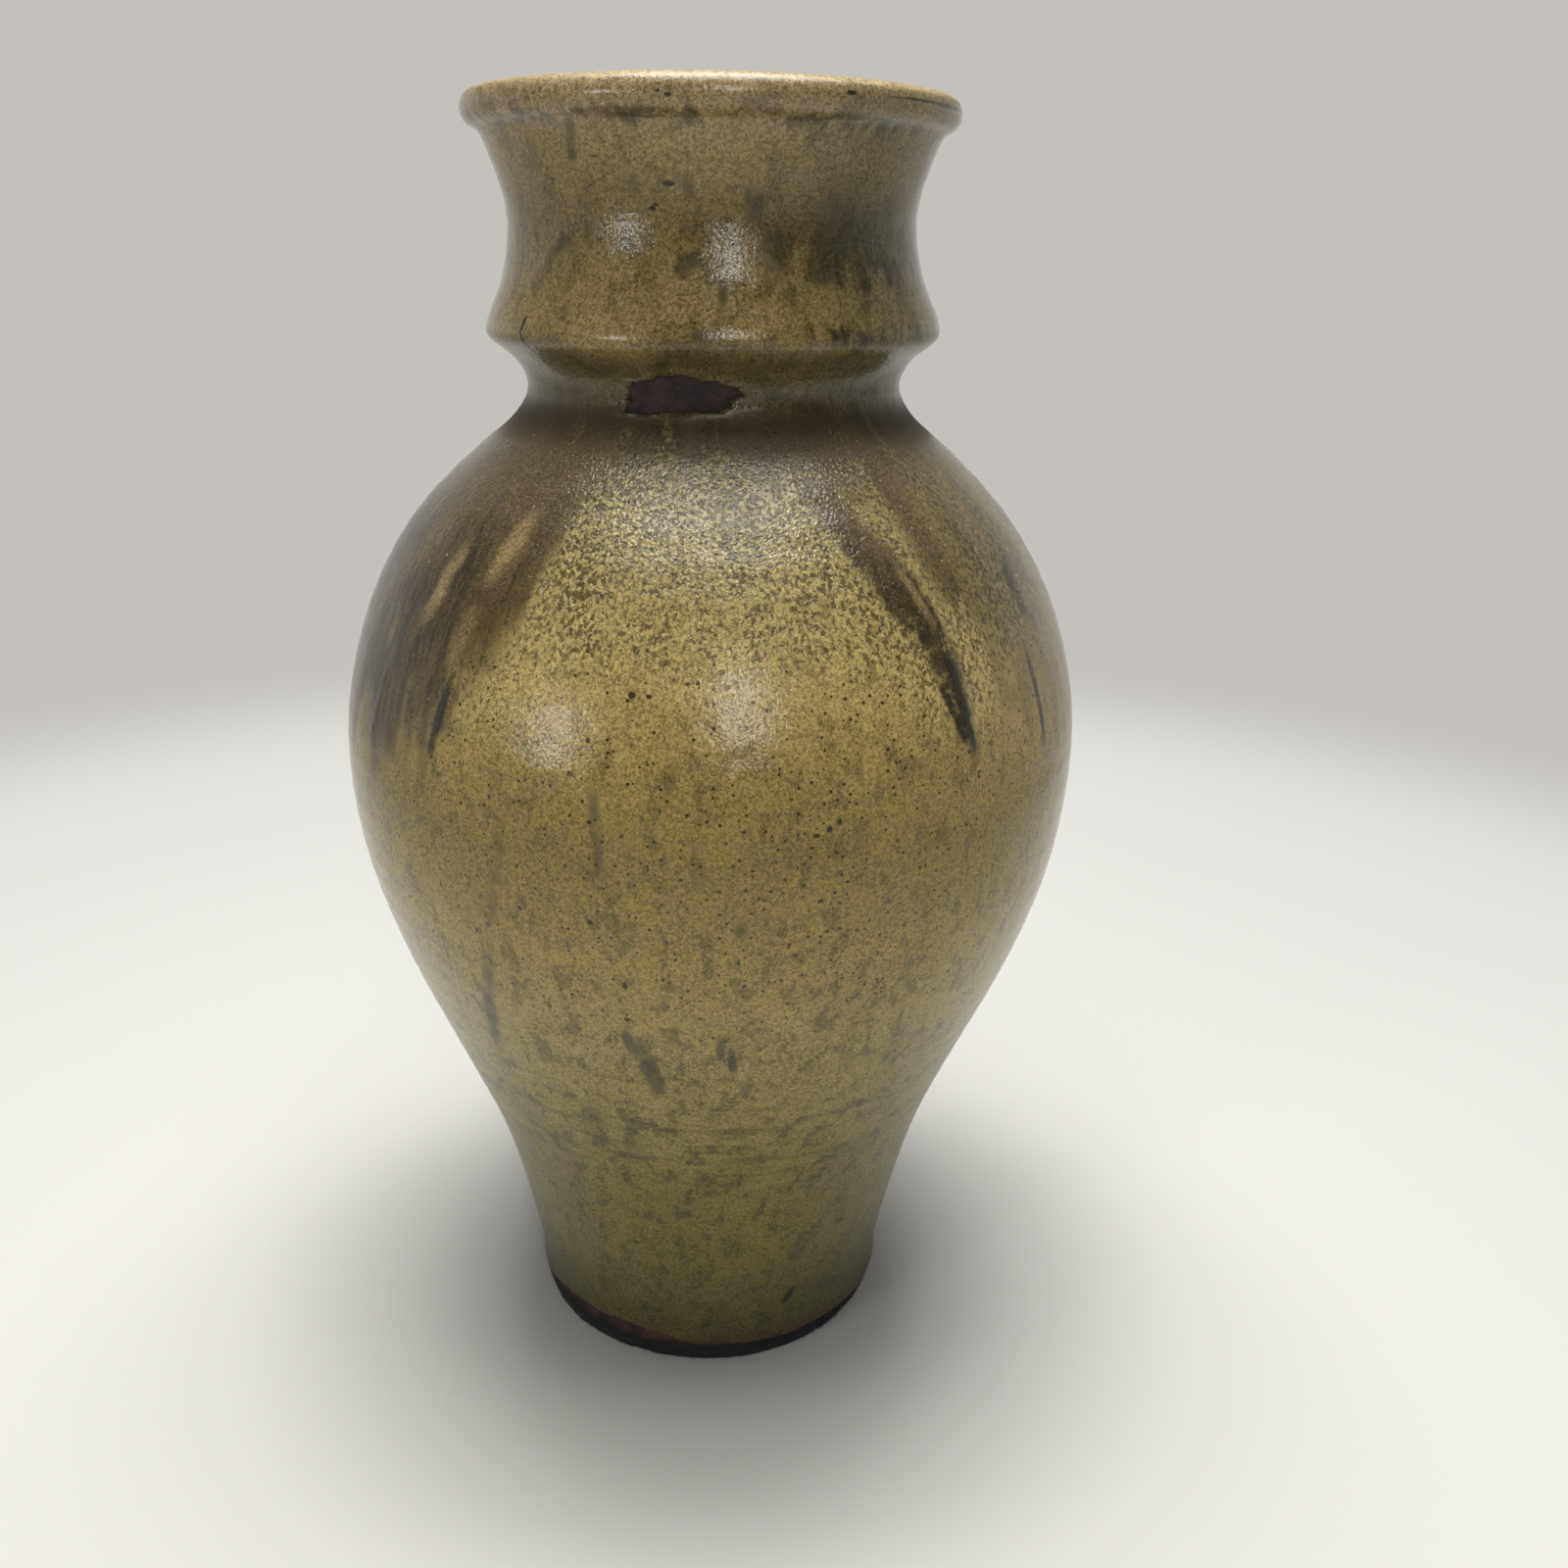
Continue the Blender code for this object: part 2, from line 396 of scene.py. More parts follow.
@dataclass(frozen=True)
class Spot:
    """A blot, pit or chip.

    Attributes:
        place: Azimuth and height of its middle.
        width: Half its width, in millimetres.
        height: Half its height, in millimetres.
        tint: What it is made of.
        strength: How strongly it shows, 0 to 1.
        proud: How far it stands out from the wall, or in if negative.
    """

    place: tuple[float, float]
    width: float
    height: float
    tint: Tint
    strength: float = 1.0
    proud: float = 0.0

    def amount(self, azimuth: Amount, height: Amount, girth: Amount) -> Amount:
        """How much of the spot there is at a point, as for a Run."""
        across = (azimuth - self.place[0]) * girth * (1.0 / self.width)
        along = (height - self.place[1]) * (1.0 / self.height)
        squared = across * across + along * along
        return self.strength / (1.0 + squared * squared)


IRON, AMBER, STRAW, SLATE = Tint

# Thick runs that hang from the shoulder all round the pot, and the tongues between them
SHOULDER_RUNS = (
    Run((19, 294), (31, 254), 5.0, AMBER, 1.4, proud=0.15),
    Run((28, 276), (35.4, 242), 4.2, AMBER, 1.4, proud=0.15),
    Run((33, 256), (37.2, 224), 3.6, AMBER, 1.2, proud=0.25),
    Run((35.0, 250), (37.6, 222), 1.7, IRON, 0.95, proud=0.3),
    Run((32.6, 242), (36.9, 222.5), 1.5, IRON, 0.8),
    Run((47.5, 290), (49, 258), 4.6, AMBER, 0.55, proud=0.1),
    Run((58, 284), (60.5, 232), 5.0, AMBER, 0.7, proud=0.15),
    Run((54.5, 248), (55.7, 214), 1.5, IRON, 0.65, proud=0.2),
    Run((-39.6, 242), (-41.8, 218.5), 1.7, IRON, 0.8, proud=0.3),
    Run((-55.5, 240), (-58.4, 213.5), 1.6, IRON, 0.65, proud=0.25),
    Run((-66, 250), (-68, 205), 3.4, AMBER, 0.7, proud=0.25),
    Run((-88, 262), (-90, 212), 4.2, AMBER, 0.8, proud=0.3),
    Run((-112, 270), (-116, 196), 4.8, AMBER, 0.9, bow=1.5, proud=0.3),
    Run((-114.6, 214), (-116.2, 193), 2.4, IRON, 1.0, proud=0.3),
    Run((-141, 262), (-139, 221), 3.6, AMBER, 0.7, proud=0.2),
    Run((-163, 272), (-167, 204), 4.6, AMBER, 0.9, bow=-1.5, proud=0.3),
    Run((-166, 222), (-167.4, 201), 2.3, IRON, 0.95, proud=0.3),
    Run((82, 274), (84, 226), 4.4, AMBER, 0.75, proud=0.25),
    Run((103, 268), (101, 200), 4.8, AMBER, 0.9, bow=1.2, proud=0.3),
    Run((101.6, 218), (100.9, 197), 2.4, IRON, 1.0, proud=0.3),
    Run((127, 264), (130, 226), 4.0, AMBER, 0.7, proud=0.2),
    Run((150, 280), (147, 209), 4.8, AMBER, 0.9, bow=-1.2, proud=0.3),
    Run((147.6, 226), (147, 206), 2.3, IRON, 0.95, proud=0.3),
)
TONGUES = (
    Run((30.2, 271), (34.4, 253), 1.5, STRAW, 0.75),
    Run((-35.6, 279), (-38.2, 262), 2.7, STRAW, 1.0),
    Run((-47.4, 272), (-49.6, 249), 3.1, STRAW, 0.95),
    Run((-39.2, 259), (-41.2, 237), 3.2, STRAW, 0.65),
    Run((-30.5, 283), (-31.5, 277), 1.8, STRAW, 0.3),
    Run((-58, 250), (-59, 238), 2.4, STRAW, 0.45),
    Run((95, 262), (94, 244), 2.6, STRAW, 0.6),
    Run((-128, 264), (-129, 246), 2.8, STRAW, 0.65),
    Run((160, 266), (160, 250), 2.4, STRAW, 0.55),
)
# Smears and blots on the belly and lower wall
WALL_MARKS = (
    Run((-27.5, 214), (-33, 168), 2.2, SLATE, 0.5),
    Run((-31.5, 176), (-40.5, 122), 2.3, SLATE, 0.85, bow=-0.6),
    Run((-15.8, 226), (-14.8, 192), 2.1, SLATE, 0.55),
    Run((-4.2, 228), (-7.5, 210), 1.8, SLATE, 0.5),
    Run((-13.4, 149), (-12.2, 137), 1.6, SLATE, 1.0),
    Run((-11.8, 145), (-9.8, 130), 1.9, SLATE, 1.0),
    Run((-9.8, 140), (-8.4, 126), 1.2, SLATE, 0.9),
    Run((-11.0, 133), (-8.6, 122), 2.8, SLATE, 0.85),
    Spot((-12.3, 163), 0.7, 1.5, IRON, 0.7, proud=0.2),
    Spot((-12.6, 151.5), 1.2, 0.8, IRON, 0.65, proud=0.2),
    Run((1.4, 149), (1.0, 137), 1.3, SLATE, 0.9),
    Run((2.6, 143), (3.3, 131), 1.2, SLATE, 0.9),
    Run((-5.4, 152), (-6.4, 142), 1.8, SLATE, 0.5),
    Run((22, 150), (21, 138), 2.4, SLATE, 0.4),
    Run((30, 196), (30.5, 170), 3.0, SLATE, 0.35),
    Run((19, 214), (18.6, 200), 2.4, SLATE, 0.4),
    Run((25, 190), (24.4, 178), 2.4, SLATE, 0.4),
    Run((-21, 120), (-24, 96), 4.2, SLATE, 0.5),
    Run((-15, 116), (-16, 92), 3.0, SLATE, 0.55),
    Spot((3.7, 181), 1.9, 3.5, SLATE, 0.85),
    # a raised bump: its pale spot is partly a painted highlight on the bump
    Spot((-9.7, 184.2), 1.3, 1.2, STRAW, 0.7, proud=0.7),
    Spot((-16.4, 181.5), 0.9, 0.9, IRON, 0.7, proud=0.3),
    Spot((-11, 240), 0.95, 0.95, IRON, 1.0, proud=-0.2),
    Spot((-8.7, 240), 0.75, 0.6, IRON, 0.9),
    Spot((14.9, 207.6), 0.8, 0.7, IRON, 0.9),
    Spot((13.1, 206.2), 1.0, 0.6, IRON, 0.9),
    Spot((16.2, 209.4), 0.6, 0.9, IRON, 0.8),
    Spot((12.6, 203.2), 0.7, 0.5, IRON, 0.8),
    Spot((-18.8, 220.6), 0.9, 0.7, IRON, 0.7),
    Spot((-27, 28), 2.2, 1.6, IRON, 0.25),
    Run((25.4, 28), (22.6, 20.5), 1.3, IRON, 0.85),
    Spot((28.6, 24.5), 2.0, 0.6, IRON, 0.5),
)
COLLAR_MARKS = (
    Run((-32.6, 371.5), (-35.4, 361), 1.6, SLATE, 0.95),
    Run((-27, 371), (-27.5, 366), 1.4, SLATE, 0.4),
    Run((-47, 370), (-48, 359), 2.0, SLATE, 0.5),
    Run((-20.5, 360), (-18.6, 352), 2.0, SLATE, 0.55),
    Run((-9, 361), (-4.6, 351), 1.8, SLATE, 0.45),
    Run((-33.5, 354), (-34, 341), 1.5, SLATE, 0.5),
    Run((9.6, 357), (10.4, 343), 2.3, SLATE, 0.95),
    Run((13.6, 350), (15.4, 333), 4.2, SLATE, 0.8),
    Run((0.8, 356), (1.4, 343), 2.6, SLATE, 0.45),
    Run((33.6, 357), (28.6, 333.5), 6.0, SLATE, 0.95, bow=1.2),
    Run((44, 352), (43, 336), 3.0, SLATE, 0.8),
    Run((54, 356), (52, 338), 4.0, SLATE, 0.6),
    Run((2.2, 337), (1.4, 325), 1.3, SLATE, 0.85),
    Run((-21.5, 346), (-22, 339), 4.2, SLATE, 0.5),
    Run((-40, 346), (-41, 339), 4.0, SLATE, 0.6),
    Run((-6, 342), (-6.5, 335), 3.6, SLATE, 0.55),
    Spot((-10.9, 355.7), 1.5, 0.5, IRON, 1.0, proud=-0.1),
    Spot((-15.2, 350.2), 0.8, 0.5, IRON, 0.95),
    Spot((-14.2, 351.0), 0.7, 0.35, IRON, 0.85),
    Spot((-29.0, 361.8), 1.2, 0.3, IRON, 0.6),
    Spot((-43.6, 356.6), 0.5, 0.5, IRON, 0.8),
    Spot((-9.2, 374.4), 0.8, 0.5, IRON, 0.9),
    Spot((-11.2, 375.2), 0.6, 0.4, IRON, 0.6),
    Spot((28.4, 376.4), 1.5, 0.6, IRON, 0.9),
    Run((33, 377.2), (33, 376.2), 0.5, IRON, 0.3),
    Spot((48, 376.4), 13.0, 0.45, IRON, 0.55),
    Spot((62, 376.2), 9.0, 0.7, IRON, 0.75),
    Spot((-2, 321.0), 3.4, 1.6, SLATE, 0.6),
    Run((-39, 316.5), (-31, 309.5), 2.6, SLATE, 0.8),
    Run((-13, 317), (-12.6, 312.6), 2.2, SLATE, 0.7),
    Run((-27, 314), (-28, 310), 3.2, SLATE, 0.5),
    Run((10, 315), (12, 309), 3.4, SLATE, 0.5),
)
# The hairline crack that runs over the ridge
CRACK = (
    Run((-50.0, 324.6), (-51.6, 319.4), 0.52, IRON, 1.0),
    Run((-51.6, 320.2), (-49.4, 314.6), 0.52, IRON, 1.0),
)


def is_fine(mark: Union[Run, Spot]) -> bool:
    """Whether a mark is too small for the mesh to carry, so that the material draws it."""
    return mark.width < 1.75 if isinstance(mark, Run) else min(mark.width, mark.height) < 1.7


ALL_MARKS = SHOULDER_RUNS + TONGUES + WALL_MARKS + COLLAR_MARKS


def broad_marks(azimuth: np.ndarray, height: np.ndarray, girth: np.ndarray) -> dict[str, np.ndarray]:
    """How much of each tint the broad marks leave at points of the wall.

    Args:
        azimuth: Of the points.
        height: Of the points.
        girth: Millimetres along the wall for a degree of azimuth there.

    Returns:
        For each tint's name, the strongest mark at each point, 0 to 1.
    """
    across, along = np.radians(azimuth), height / 55.0
    shift, lift = 0.0 * azimuth, 0.0 * azimuth
    dice = np.random.default_rng(SEED + 1)
    for _ in range(14):
        waves, climb = int(dice.integers(8, 60)), dice.uniform(-26, 26)
        phase, size = dice.uniform(0, WHOLE_TURN), dice.uniform(0.05, 0.16)
        shift = shift + size * np.sin(waves * across + climb * along + phase)
        lift = lift + size * np.sin(waves * across - climb * along + 2 * phase)
    found = {tint.name.lower(): 0.0 * azimuth for tint in Tint}
    for mark in ALL_MARKS:
        if not is_fine(mark):
            amount = mark.amount(azimuth + shift / girth, height + lift, girth)
            found[mark.tint.name.lower()] = np.maximum(found[mark.tint.name.lower()], amount)
    return found


@dataclass(frozen=True)
class CrawledPatch:
    """The patch of the neck that the glaze drew back from, as a ragged oval.

    Attributes:
        azimuth: Of its middle.
        height: Of its middle.
        half_width: In millimetres along the wall.
        half_height: In millimetres.
        ripples: (count, size, phase in radians) of the waves round its edge.
    """

    azimuth: float = -9.6
    height: float = 305.6
    half_width: float = 14.2
    half_height: float = 4.1
    ripples: tuple[tuple[int, float, float], ...] = (
        (2, 0.05, 0.4), (3, 0.09, 2.4), (5, 0.08, 0.2), (8, 0.045, 1.0), (13, 0.04, 2.0), (21, 0.03, 0.5),
    )

    def polar(self, azimuth: np.ndarray, height: np.ndarray, girth: float) -> tuple[np.ndarray, ...]:
        """Points seen from the patch's middle.

        Args:
            azimuth: Of the points.
            height: Of the points.
            girth: Millimetres along the wall for a degree of azimuth at the neck.

        Returns:
            Their angle, their distance in half widths and heights, and the edge's distance there.
        """
        across = (azimuth - self.azimuth) * girth / self.half_width
        along = (height - self.height) / self.half_height
        angle = np.arctan2(along, across)
        edge = 1.0 + sum(size * np.sin(count * angle + phase) for count, size, phase in self.ripples)
        # squarer than an oval: its long sides run level
        edge = edge * (np.abs(np.cos(angle)) ** 3 + np.abs(np.sin(angle)) ** 3) ** (-1 / 3)
        return angle, np.hypot(across, along), edge

    def distance(self, azimuth: np.ndarray, height: np.ndarray, girth: float) -> np.ndarray:
        """Millimetres outside the patch's edge, and negative inside, as for polar()."""
        _, reach, edge = self.polar(azimuth, height, girth)
        across = (azimuth - self.azimuth) * girth
        real = np.hypot(across, height - self.height)
        return real * (1 - edge / np.maximum(reach, 1e-6))

    def snapped(self, azimuth: np.ndarray, height: np.ndarray, girth: float) -> tuple[np.ndarray, ...]:
        """The azimuth and height of points moved straight onto the edge, as for polar()."""
        _, reach, edge = self.polar(azimuth, height, girth)
        pull = edge / reach
        return self.azimuth + (azimuth - self.azimuth) * pull, self.height + (height - self.height) * pull


# ---------------------------------------------------------------------------
# Turned meshes
# ---------------------------------------------------------------------------


def section(node: str) -> Line:
    """The section of a turned CAD node, read where it crosses the plane behind the axis.

    Args:
        node: The node's name.

    Returns:
        Its (radius, height) corners in order. A ring's section starts at its lowest outermost
        corner and climbs; a piece that crosses the axis starts at its upper corner by the axis.
    """
    places: dict[int, tuple[float, float]] = {}
    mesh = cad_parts[node].data
    for vertex in mesh.vertices:
        x, y, z = (part / MM for part in vertex.co)
        if abs(x) < ON_PLANE and y > 0:
            places[vertex.index] = (round(y, 2), round(z, 2))
    links: dict[tuple[float, float], list[tuple[float, float]]] = {}
    for edge in mesh.edges:
        a, b = (places.get(i) for i in edge.vertices)
        if a and b and a != b:
            links.setdefault(a, []).append(b)
            links.setdefault(b, []).append(a)
    ends = [place for place in links if len(set(links[place])) == 1]
    start = max(ends, key=lambda p: p[1]) if ends else min(links, key=lambda p: (p[1], -p[0]))
    walk = [start, max(links[start], key=lambda p: p[1])]
    while True:
        ahead = [place for place in links[walk[-1]] if place not in walk[-2:]]
        if not ahead or ahead[0] == start:
            return np.array(walk)
        walk.append(ahead[0])


def up_to_crest(corners: Line) -> Line:
    """The first stretch of a section, up to its highest point."""
    return corners[: int(np.argmax(corners[:, 1])) + 1]


def smooth_curve(corners: Line, step: float) -> Line:
    """A centripetal Catmull-Rom curve through corners.

    Args:
        corners: (radius, height) points.
        step: The length of its straight pieces, at most.

    Returns:
        Points along the curve, from the first corner to the last.
    """
    if len(corners) < 3:
        count = max(1, math.ceil(np.hypot(*(corners[1] - corners[0])) / step))
        return corners[0] + (corners[1] - corners[0]) * np.linspace(0, 1, count + 1)[:, None]
    padded = np.vstack([2 * corners[0] - corners[1], corners, 2 * corners[-1] - corners[-2]])
    pieces = []
    for quad in (padded[i : i + 4] for i in range(len(padded) - 3)):
        knots = np.concatenate([[0], np.cumsum(np.sqrt(np.hypot(*np.diff(quad, axis=0).T)))])
        count = max(1, math.ceil(np.hypot(*(quad[2] - quad[1])) / step))
        t = np.linspace(knots[1], knots[2], count, endpoint=False)[:, None]

        def between(a: Line, b: Line, low: int, high: int) -> Line:
            """The blend of two curves between two knots."""
            return ((knots[high] - t) * a + (t - knots[low]) * b) / (knots[high] - knots[low])

        one, two, three = (between(quad[i], quad[i + 1], i, i + 1) for i in range(3))
        pieces.append(between(between(one, two, 0, 2), between(two, three, 1, 3), 1, 2))
    return np.vstack([*pieces, corners[-1:]])


def read(table: Table, where: np.ndarray) -> np.ndarray:
    """What a table says at each place."""
    return np.interp(where, *zip(*table))


def distances(line: Line) -> np.ndarray:
    """How far along the line each of its points lies."""
    return np.concatenate([[0], np.cumsum(np.hypot(*np.diff(line, axis=0).T))])


def even(line: Line, step: float) -> Line:
    """The line with its points spread evenly, about a step apart."""
    along = distances(line)
    wanted = np.linspace(0, along[-1], max(2, round(along[-1] / step) + 1))
    return np.column_stack([np.interp(wanted, along, part) for part in line.T])


def outward(line: Line) -> Line:
    """Unit normals to the right of a line, as seen when walking along it."""
    run = np.gradient(line, axis=0)
    return np.column_stack([run[:, 1], -run[:, 0]]) / np.hypot(*run.T)[:, None]


def softened(corners: Line, step: float, sharpest: float = 34.0) -> Line:
    """A closed section with its gentle corners rounded and its hard ones kept.

    Args:
        corners: (radius, height) points in order.
        step: The length of its straight pieces, at most.
        sharpest: The greatest turn, in degrees, that is rounded.

    Returns:
        Points round the section, without the first one repeated.
    """
    ring = np.vstack([corners, corners[:1]])
    run = np.diff(ring, axis=0)
    heading = np.degrees(np.arctan2(run[:, 1], run[:, 0]))
    turn = np.abs((heading - np.roll(heading, 1) + 180) % 360 - 180)
    hard = [i for i in range(len(corners)) if turn[i] > sharpest]
    ring = np.vstack([np.roll(corners, -hard[0], axis=0), corners[hard[0]][None]])
    stops = [i - hard[0] for i in hard] + [len(corners)]
    return np.vstack([smooth_curve(ring[a : b + 1], step)[:-1] for a, b in zip(stops, stops[1:])])


def once_round(columns: int, rows: int) -> np.ndarray:
    """The azimuth of every point of a grid of rows, evenly round the pot."""
    return np.tile(np.linspace(-180, 180, columns, endpoint=False), (rows, 1))


def on_wheel(radius: np.ndarray, height: np.ndarray, azimuth: np.ndarray) -> np.ndarray:
    """Points in space, in millimetres, from radius, height and azimuth."""
    turn = np.radians(azimuth)
    return np.stack([radius * np.sin(turn), -radius * np.cos(turn), height + 0 * turn], axis=-1)


@dataclass(frozen=True)
class Crease:
    """A groove that a rib or a fingernail left round part of the wall."""

    height: float
    start: float
    end: float
    depth: float
    slope: float = 0.0

    def depth_at(self, azimuth: np.ndarray, height: np.ndarray) -> np.ndarray:
        """Millimetres of groove at each point."""
        middle = self.height + self.slope * (azimuth - self.start)
        ends = np.clip((azimuth - self.start) / 8, 0, 1) * np.clip((self.end - azimuth) / 8, 0, 1)
        return self.depth * ends * np.exp(-(((height - middle) / 0.9) ** 2))


@dataclass(frozen=True)
class Throwing:
    """How the hand-thrown pot strays from a true turned shape.

    Attributes:
        oval: How far the wall is out of round.
        lump: Size of the slow swells in the wall.
        stiff: The height up to which the wall is truer than above.
        ring_pitch: Height between throwing rings.
        finer: The pitch of the finer rings between them, as a share of it.
        ring_size: (height, millimetres) pairs: how deep the rings are there.
        lean: (height, millimetres) pairs: how far the wall leans to the right there.
        tilt: (height, slope) pairs: how much the rings rise to the right there.
        creases: Grooves in the wall.
    """

    oval: float = 0.22
    lump: float = 0.2
    stiff: float = 60.0
    ring_pitch: float = 7.6
    finer: float = 0.43
    ring_size: Table = (
        (0, 0.02), (60, 0.04), (84, 0.1), (124, 0.1), (140, 0.05), (240, 0.04), (280, 0.11), (296, 0.02),
        (330, 0.05), (362, 0.04), (370, 0.0),
    )
    lean: Table = ((0, -1.0), (60, -1.0), (160, 0.0), (250, 0.25), (380, -0.6))
    tilt: Table = ((250, 0.0), (305, 0.012), (335, 0.012), (380, 0.007))
    creases: tuple[Crease, ...] = (
        Crease(116.6, -46, -6, 0.45, -0.05),
        Crease(113.2, -40, -2, 0.3, -0.05),
        Crease(205.6, 20, 78, 0.3, 0.09),
        Crease(202.8, 28, 84, 0.22, 0.09),
        Crease(97.5, -14, 34, 0.22, 0.02),
        Crease(91.5, -20, 26, 0.18, 0.0),
        Crease(118.5, 96, 170, 0.35, 0.03),
        Crease(203.0, -150, -96, 0.3, -0.06),
    )

    def swell(self, azimuth: np.ndarray, height: np.ndarray) -> np.ndarray:
        """Millimetres that the wall stands out, before any glaze.

        Args:
            azimuth: Of the points.
            height: Of the points.

        Returns:
            The distance along the wall's normal.
        """
        turn = np.radians(azimuth)
        free = np.clip(height / self.stiff, 0, 1)
        out = self.oval * np.cos(2 * turn - 0.9) * free
        dice = np.random.default_rng(SEED)
        for lobes in range(1, 7):
            wave = dice.uniform(70, 170)
            phase, slant = dice.uniform(0, WHOLE_TURN), dice.uniform(0, WHOLE_TURN)
            swirl = np.sin(lobes * turn + phase) * np.cos(2 * math.pi * height / wave + slant)
            out = out + self.lump * swirl / (1 + 0.5 * lobes) * free
        size = read(self.ring_size, height)
        out = out + size * np.sin(2 * math.pi * (height / self.ring_pitch) - turn)
        out = out + 0.5 * size * np.sin(2 * math.pi * (height / (self.ring_pitch * self.finer)) - turn + 1)
        for crease in self.creases:
            out = out - crease.depth_at(azimuth, height)
        return out

    def settle(self, points: np.ndarray) -> np.ndarray:
        """The pot's slight lean and the tilt of its upper rings.

        Args:
            points: In millimetres, with x, y, z last.

        Returns:
            The moved points.
        """
        x, y, z = np.moveaxis(points, -1, 0)
        return np.stack([x + read(self.lean, z), y, z + read(self.tilt, z) * x], axis=-1)


class PotMesh:
    """Collects vertices in millimetres, and faces, for one piece."""

    def __init__(self) -> None:
        """Starts with nothing."""
        self.points: list[np.ndarray] = []
        self.faces: list[tuple[int, ...]] = []
        self.count = 0

    def add(self, points: np.ndarray) -> int:
        """Adds points with x, y, z last, and returns the index of the first."""
        first = self.count
        flat = points.reshape(-1, 3)
        self.points.append(flat)
        self.count += len(flat)
        return first

    def sheet(self, rows: int, columns: int, first: int, gaps: np.ndarray | None = None,
              inside_out: bool = False, closed_rows: bool = False) -> None:
        """Joins a grid of points that closes on itself round the pot.

        Args:
            rows: How many rows of points there are.
            columns: How many points a row has.
            first: The index of the grid's first point.
            gaps: Cells to leave open, as a mask of rows by columns.
            inside_out: Whether its faces point in.
            closed_rows: Whether the last row also joins the first.
        """
        for i in range(rows if closed_rows else rows - 1):
            low, high = first + i * columns, first + (i + 1) % rows * columns
            for j in range(columns):
                if gaps is not None and gaps[i, j]:
                    continue
                k = (j + 1) % columns
                face = (low + j, low + k, high + k, high + j)
                self.faces.append(face[::-1] if inside_out else face)

    @staticmethod
    def ring(first: int, row: int, columns: int) -> list[int]:
        """The points of one row of a grid."""
        return list(range(first + row * columns, first + (row + 1) * columns))

    def cap(self, height: float, ring: Sequence[int], throwing: Throwing | None = None) -> None:
        """A fan from a ring of points to their middle on the axis, facing as the ring turns.

        Args:
            height: Of the middle.
            ring: The points.
            throwing: How the pot leans, if the middle leans with it.
        """
        centre = np.array([[0.0, 0.0, height]])
        middle = self.add(throwing.settle(centre) if throwing else centre)
        for a, b in zip(ring, [*ring[1:], ring[0]]):
            self.faces.append((a, b, middle))

    def made(self, name: str, sharp: float = 40.0,
             paint: dict[str, np.ndarray] | None = None) -> bpy.types.Object:
        """The finished object, shaded smooth but for sharp edges.

        Args:
            name: The object's name.
            sharp: The angle, in degrees, above which an edge stays sharp.
            paint: Values for its first points to carry, by name. The other points carry 0.

        Returns:
            The object, linked to the scene.
        """
        mesh = bpy.data.meshes.new(name)
        mesh.from_pydata((np.vstack(self.points) * MM).tolist(), [], self.faces)
        for title, values in (paint or {}).items():
            carried = np.zeros(self.count, np.float32)
            carried[: values.size] = values.ravel()
            mesh.attributes.new(title, "FLOAT", "POINT").data.foreach_set("value", carried)
        mesh.validate()
        mesh.shade_smooth()
        mesh.set_sharp_from_angle(angle=math.radians(sharp))
        piece = bpy.data.objects.new(name, mesh)
        bpy.context.scene.collection.objects.link(piece)
        return piece


def dress(piece: bpy.types.Object, material: bpy.types.Material, slot: str, *nodes: str) -> None:
    """Gives a piece its finish and its place in the frame.

    Args:
        piece: The object.
        material: Its material.
        slot: Not used.
        nodes: The CAD nodes that it stands for.
    """
    piece.data.materials.append(material)
    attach(piece, BODY)
    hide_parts(*nodes)
    triangles = sum(len(face.vertices) - 2 for face in piece.data.polygons)
    log.info("%s: %d triangles, stands for %s", piece.name, triangles, ", ".join(nodes))


@dataclass
class Skin:
    """The glazed surface of the whole pot as one line, up the outside and down the inside.

    Attributes:
        grain: The length of its straight pieces.
        softness: (height, millimetres) pairs: how widely the line is smoothed there.
    """

    grain: float = 0.25
    softness: Table = (
        (0, 0.6), (12, 0.6), (24, 5), (276, 5), (288, 2), (312, 1.6), (315, 0.6), (325, 0.6), (330, 3),
        (362, 3), (368, 0.6), (380, 0.6),
    )
    line: Line = field(init=False)
    crest: int = field(init=False)

    def __post_init__(self) -> None:
        """Reads the line from the frame and smooths it."""
        outer, inner = up_to_crest(section("outer_glaze")), up_to_crest(section("liner_glaze"))
        middle = (outer[-1:] + inner[-1:]) / 2
        corners = np.vstack([outer[:-1], middle, inner[-2::-1]])
        line = even(smooth_curve(corners, self.grain), self.grain)
        widest = max(width for _, width in self.softness)
        passes = round((widest / self.grain) ** 2)
        for _ in range(passes):
            width = read(self.softness, line[1:-1, 1])
            pull = 0.5 * (width / widest)[:, None] ** 2
            line[1:-1] += pull * (line[2:] - 2 * line[1:-1] + line[:-2])
        self.line = line
        self.crest = int(np.argmax(line[:, 1]))

    def below_crest(self, depth: float) -> int:
        """The index of the first point inside the rim that is this far below its crest."""
        inside = self.line[self.crest :, 1]
        return self.crest + int(np.argmax(inside < inside[0] - depth))

    def rows(self, first: int, last: int, steps: Table) -> np.ndarray:
        """Indices along the line, closer together where a mesh needs more detail.

        Args:
            first: The first index.
            last: The last index.
            steps: (height, millimetres) pairs: the spacing at each height.

        Returns:
            The indices, ends included.
        """
        spacing = read(steps, self.line[first : last + 1, 1])
        count = np.cumsum(self.grain / spacing)
        wanted = np.linspace(count[0], count[-1], math.ceil(count[-1] - count[0]) + 1)
        return np.unique(first + np.searchsorted(count, wanted - 1e-9).clip(0, last - first))


# ---------------------------------------------------------------------------
# Finishes
# ---------------------------------------------------------------------------


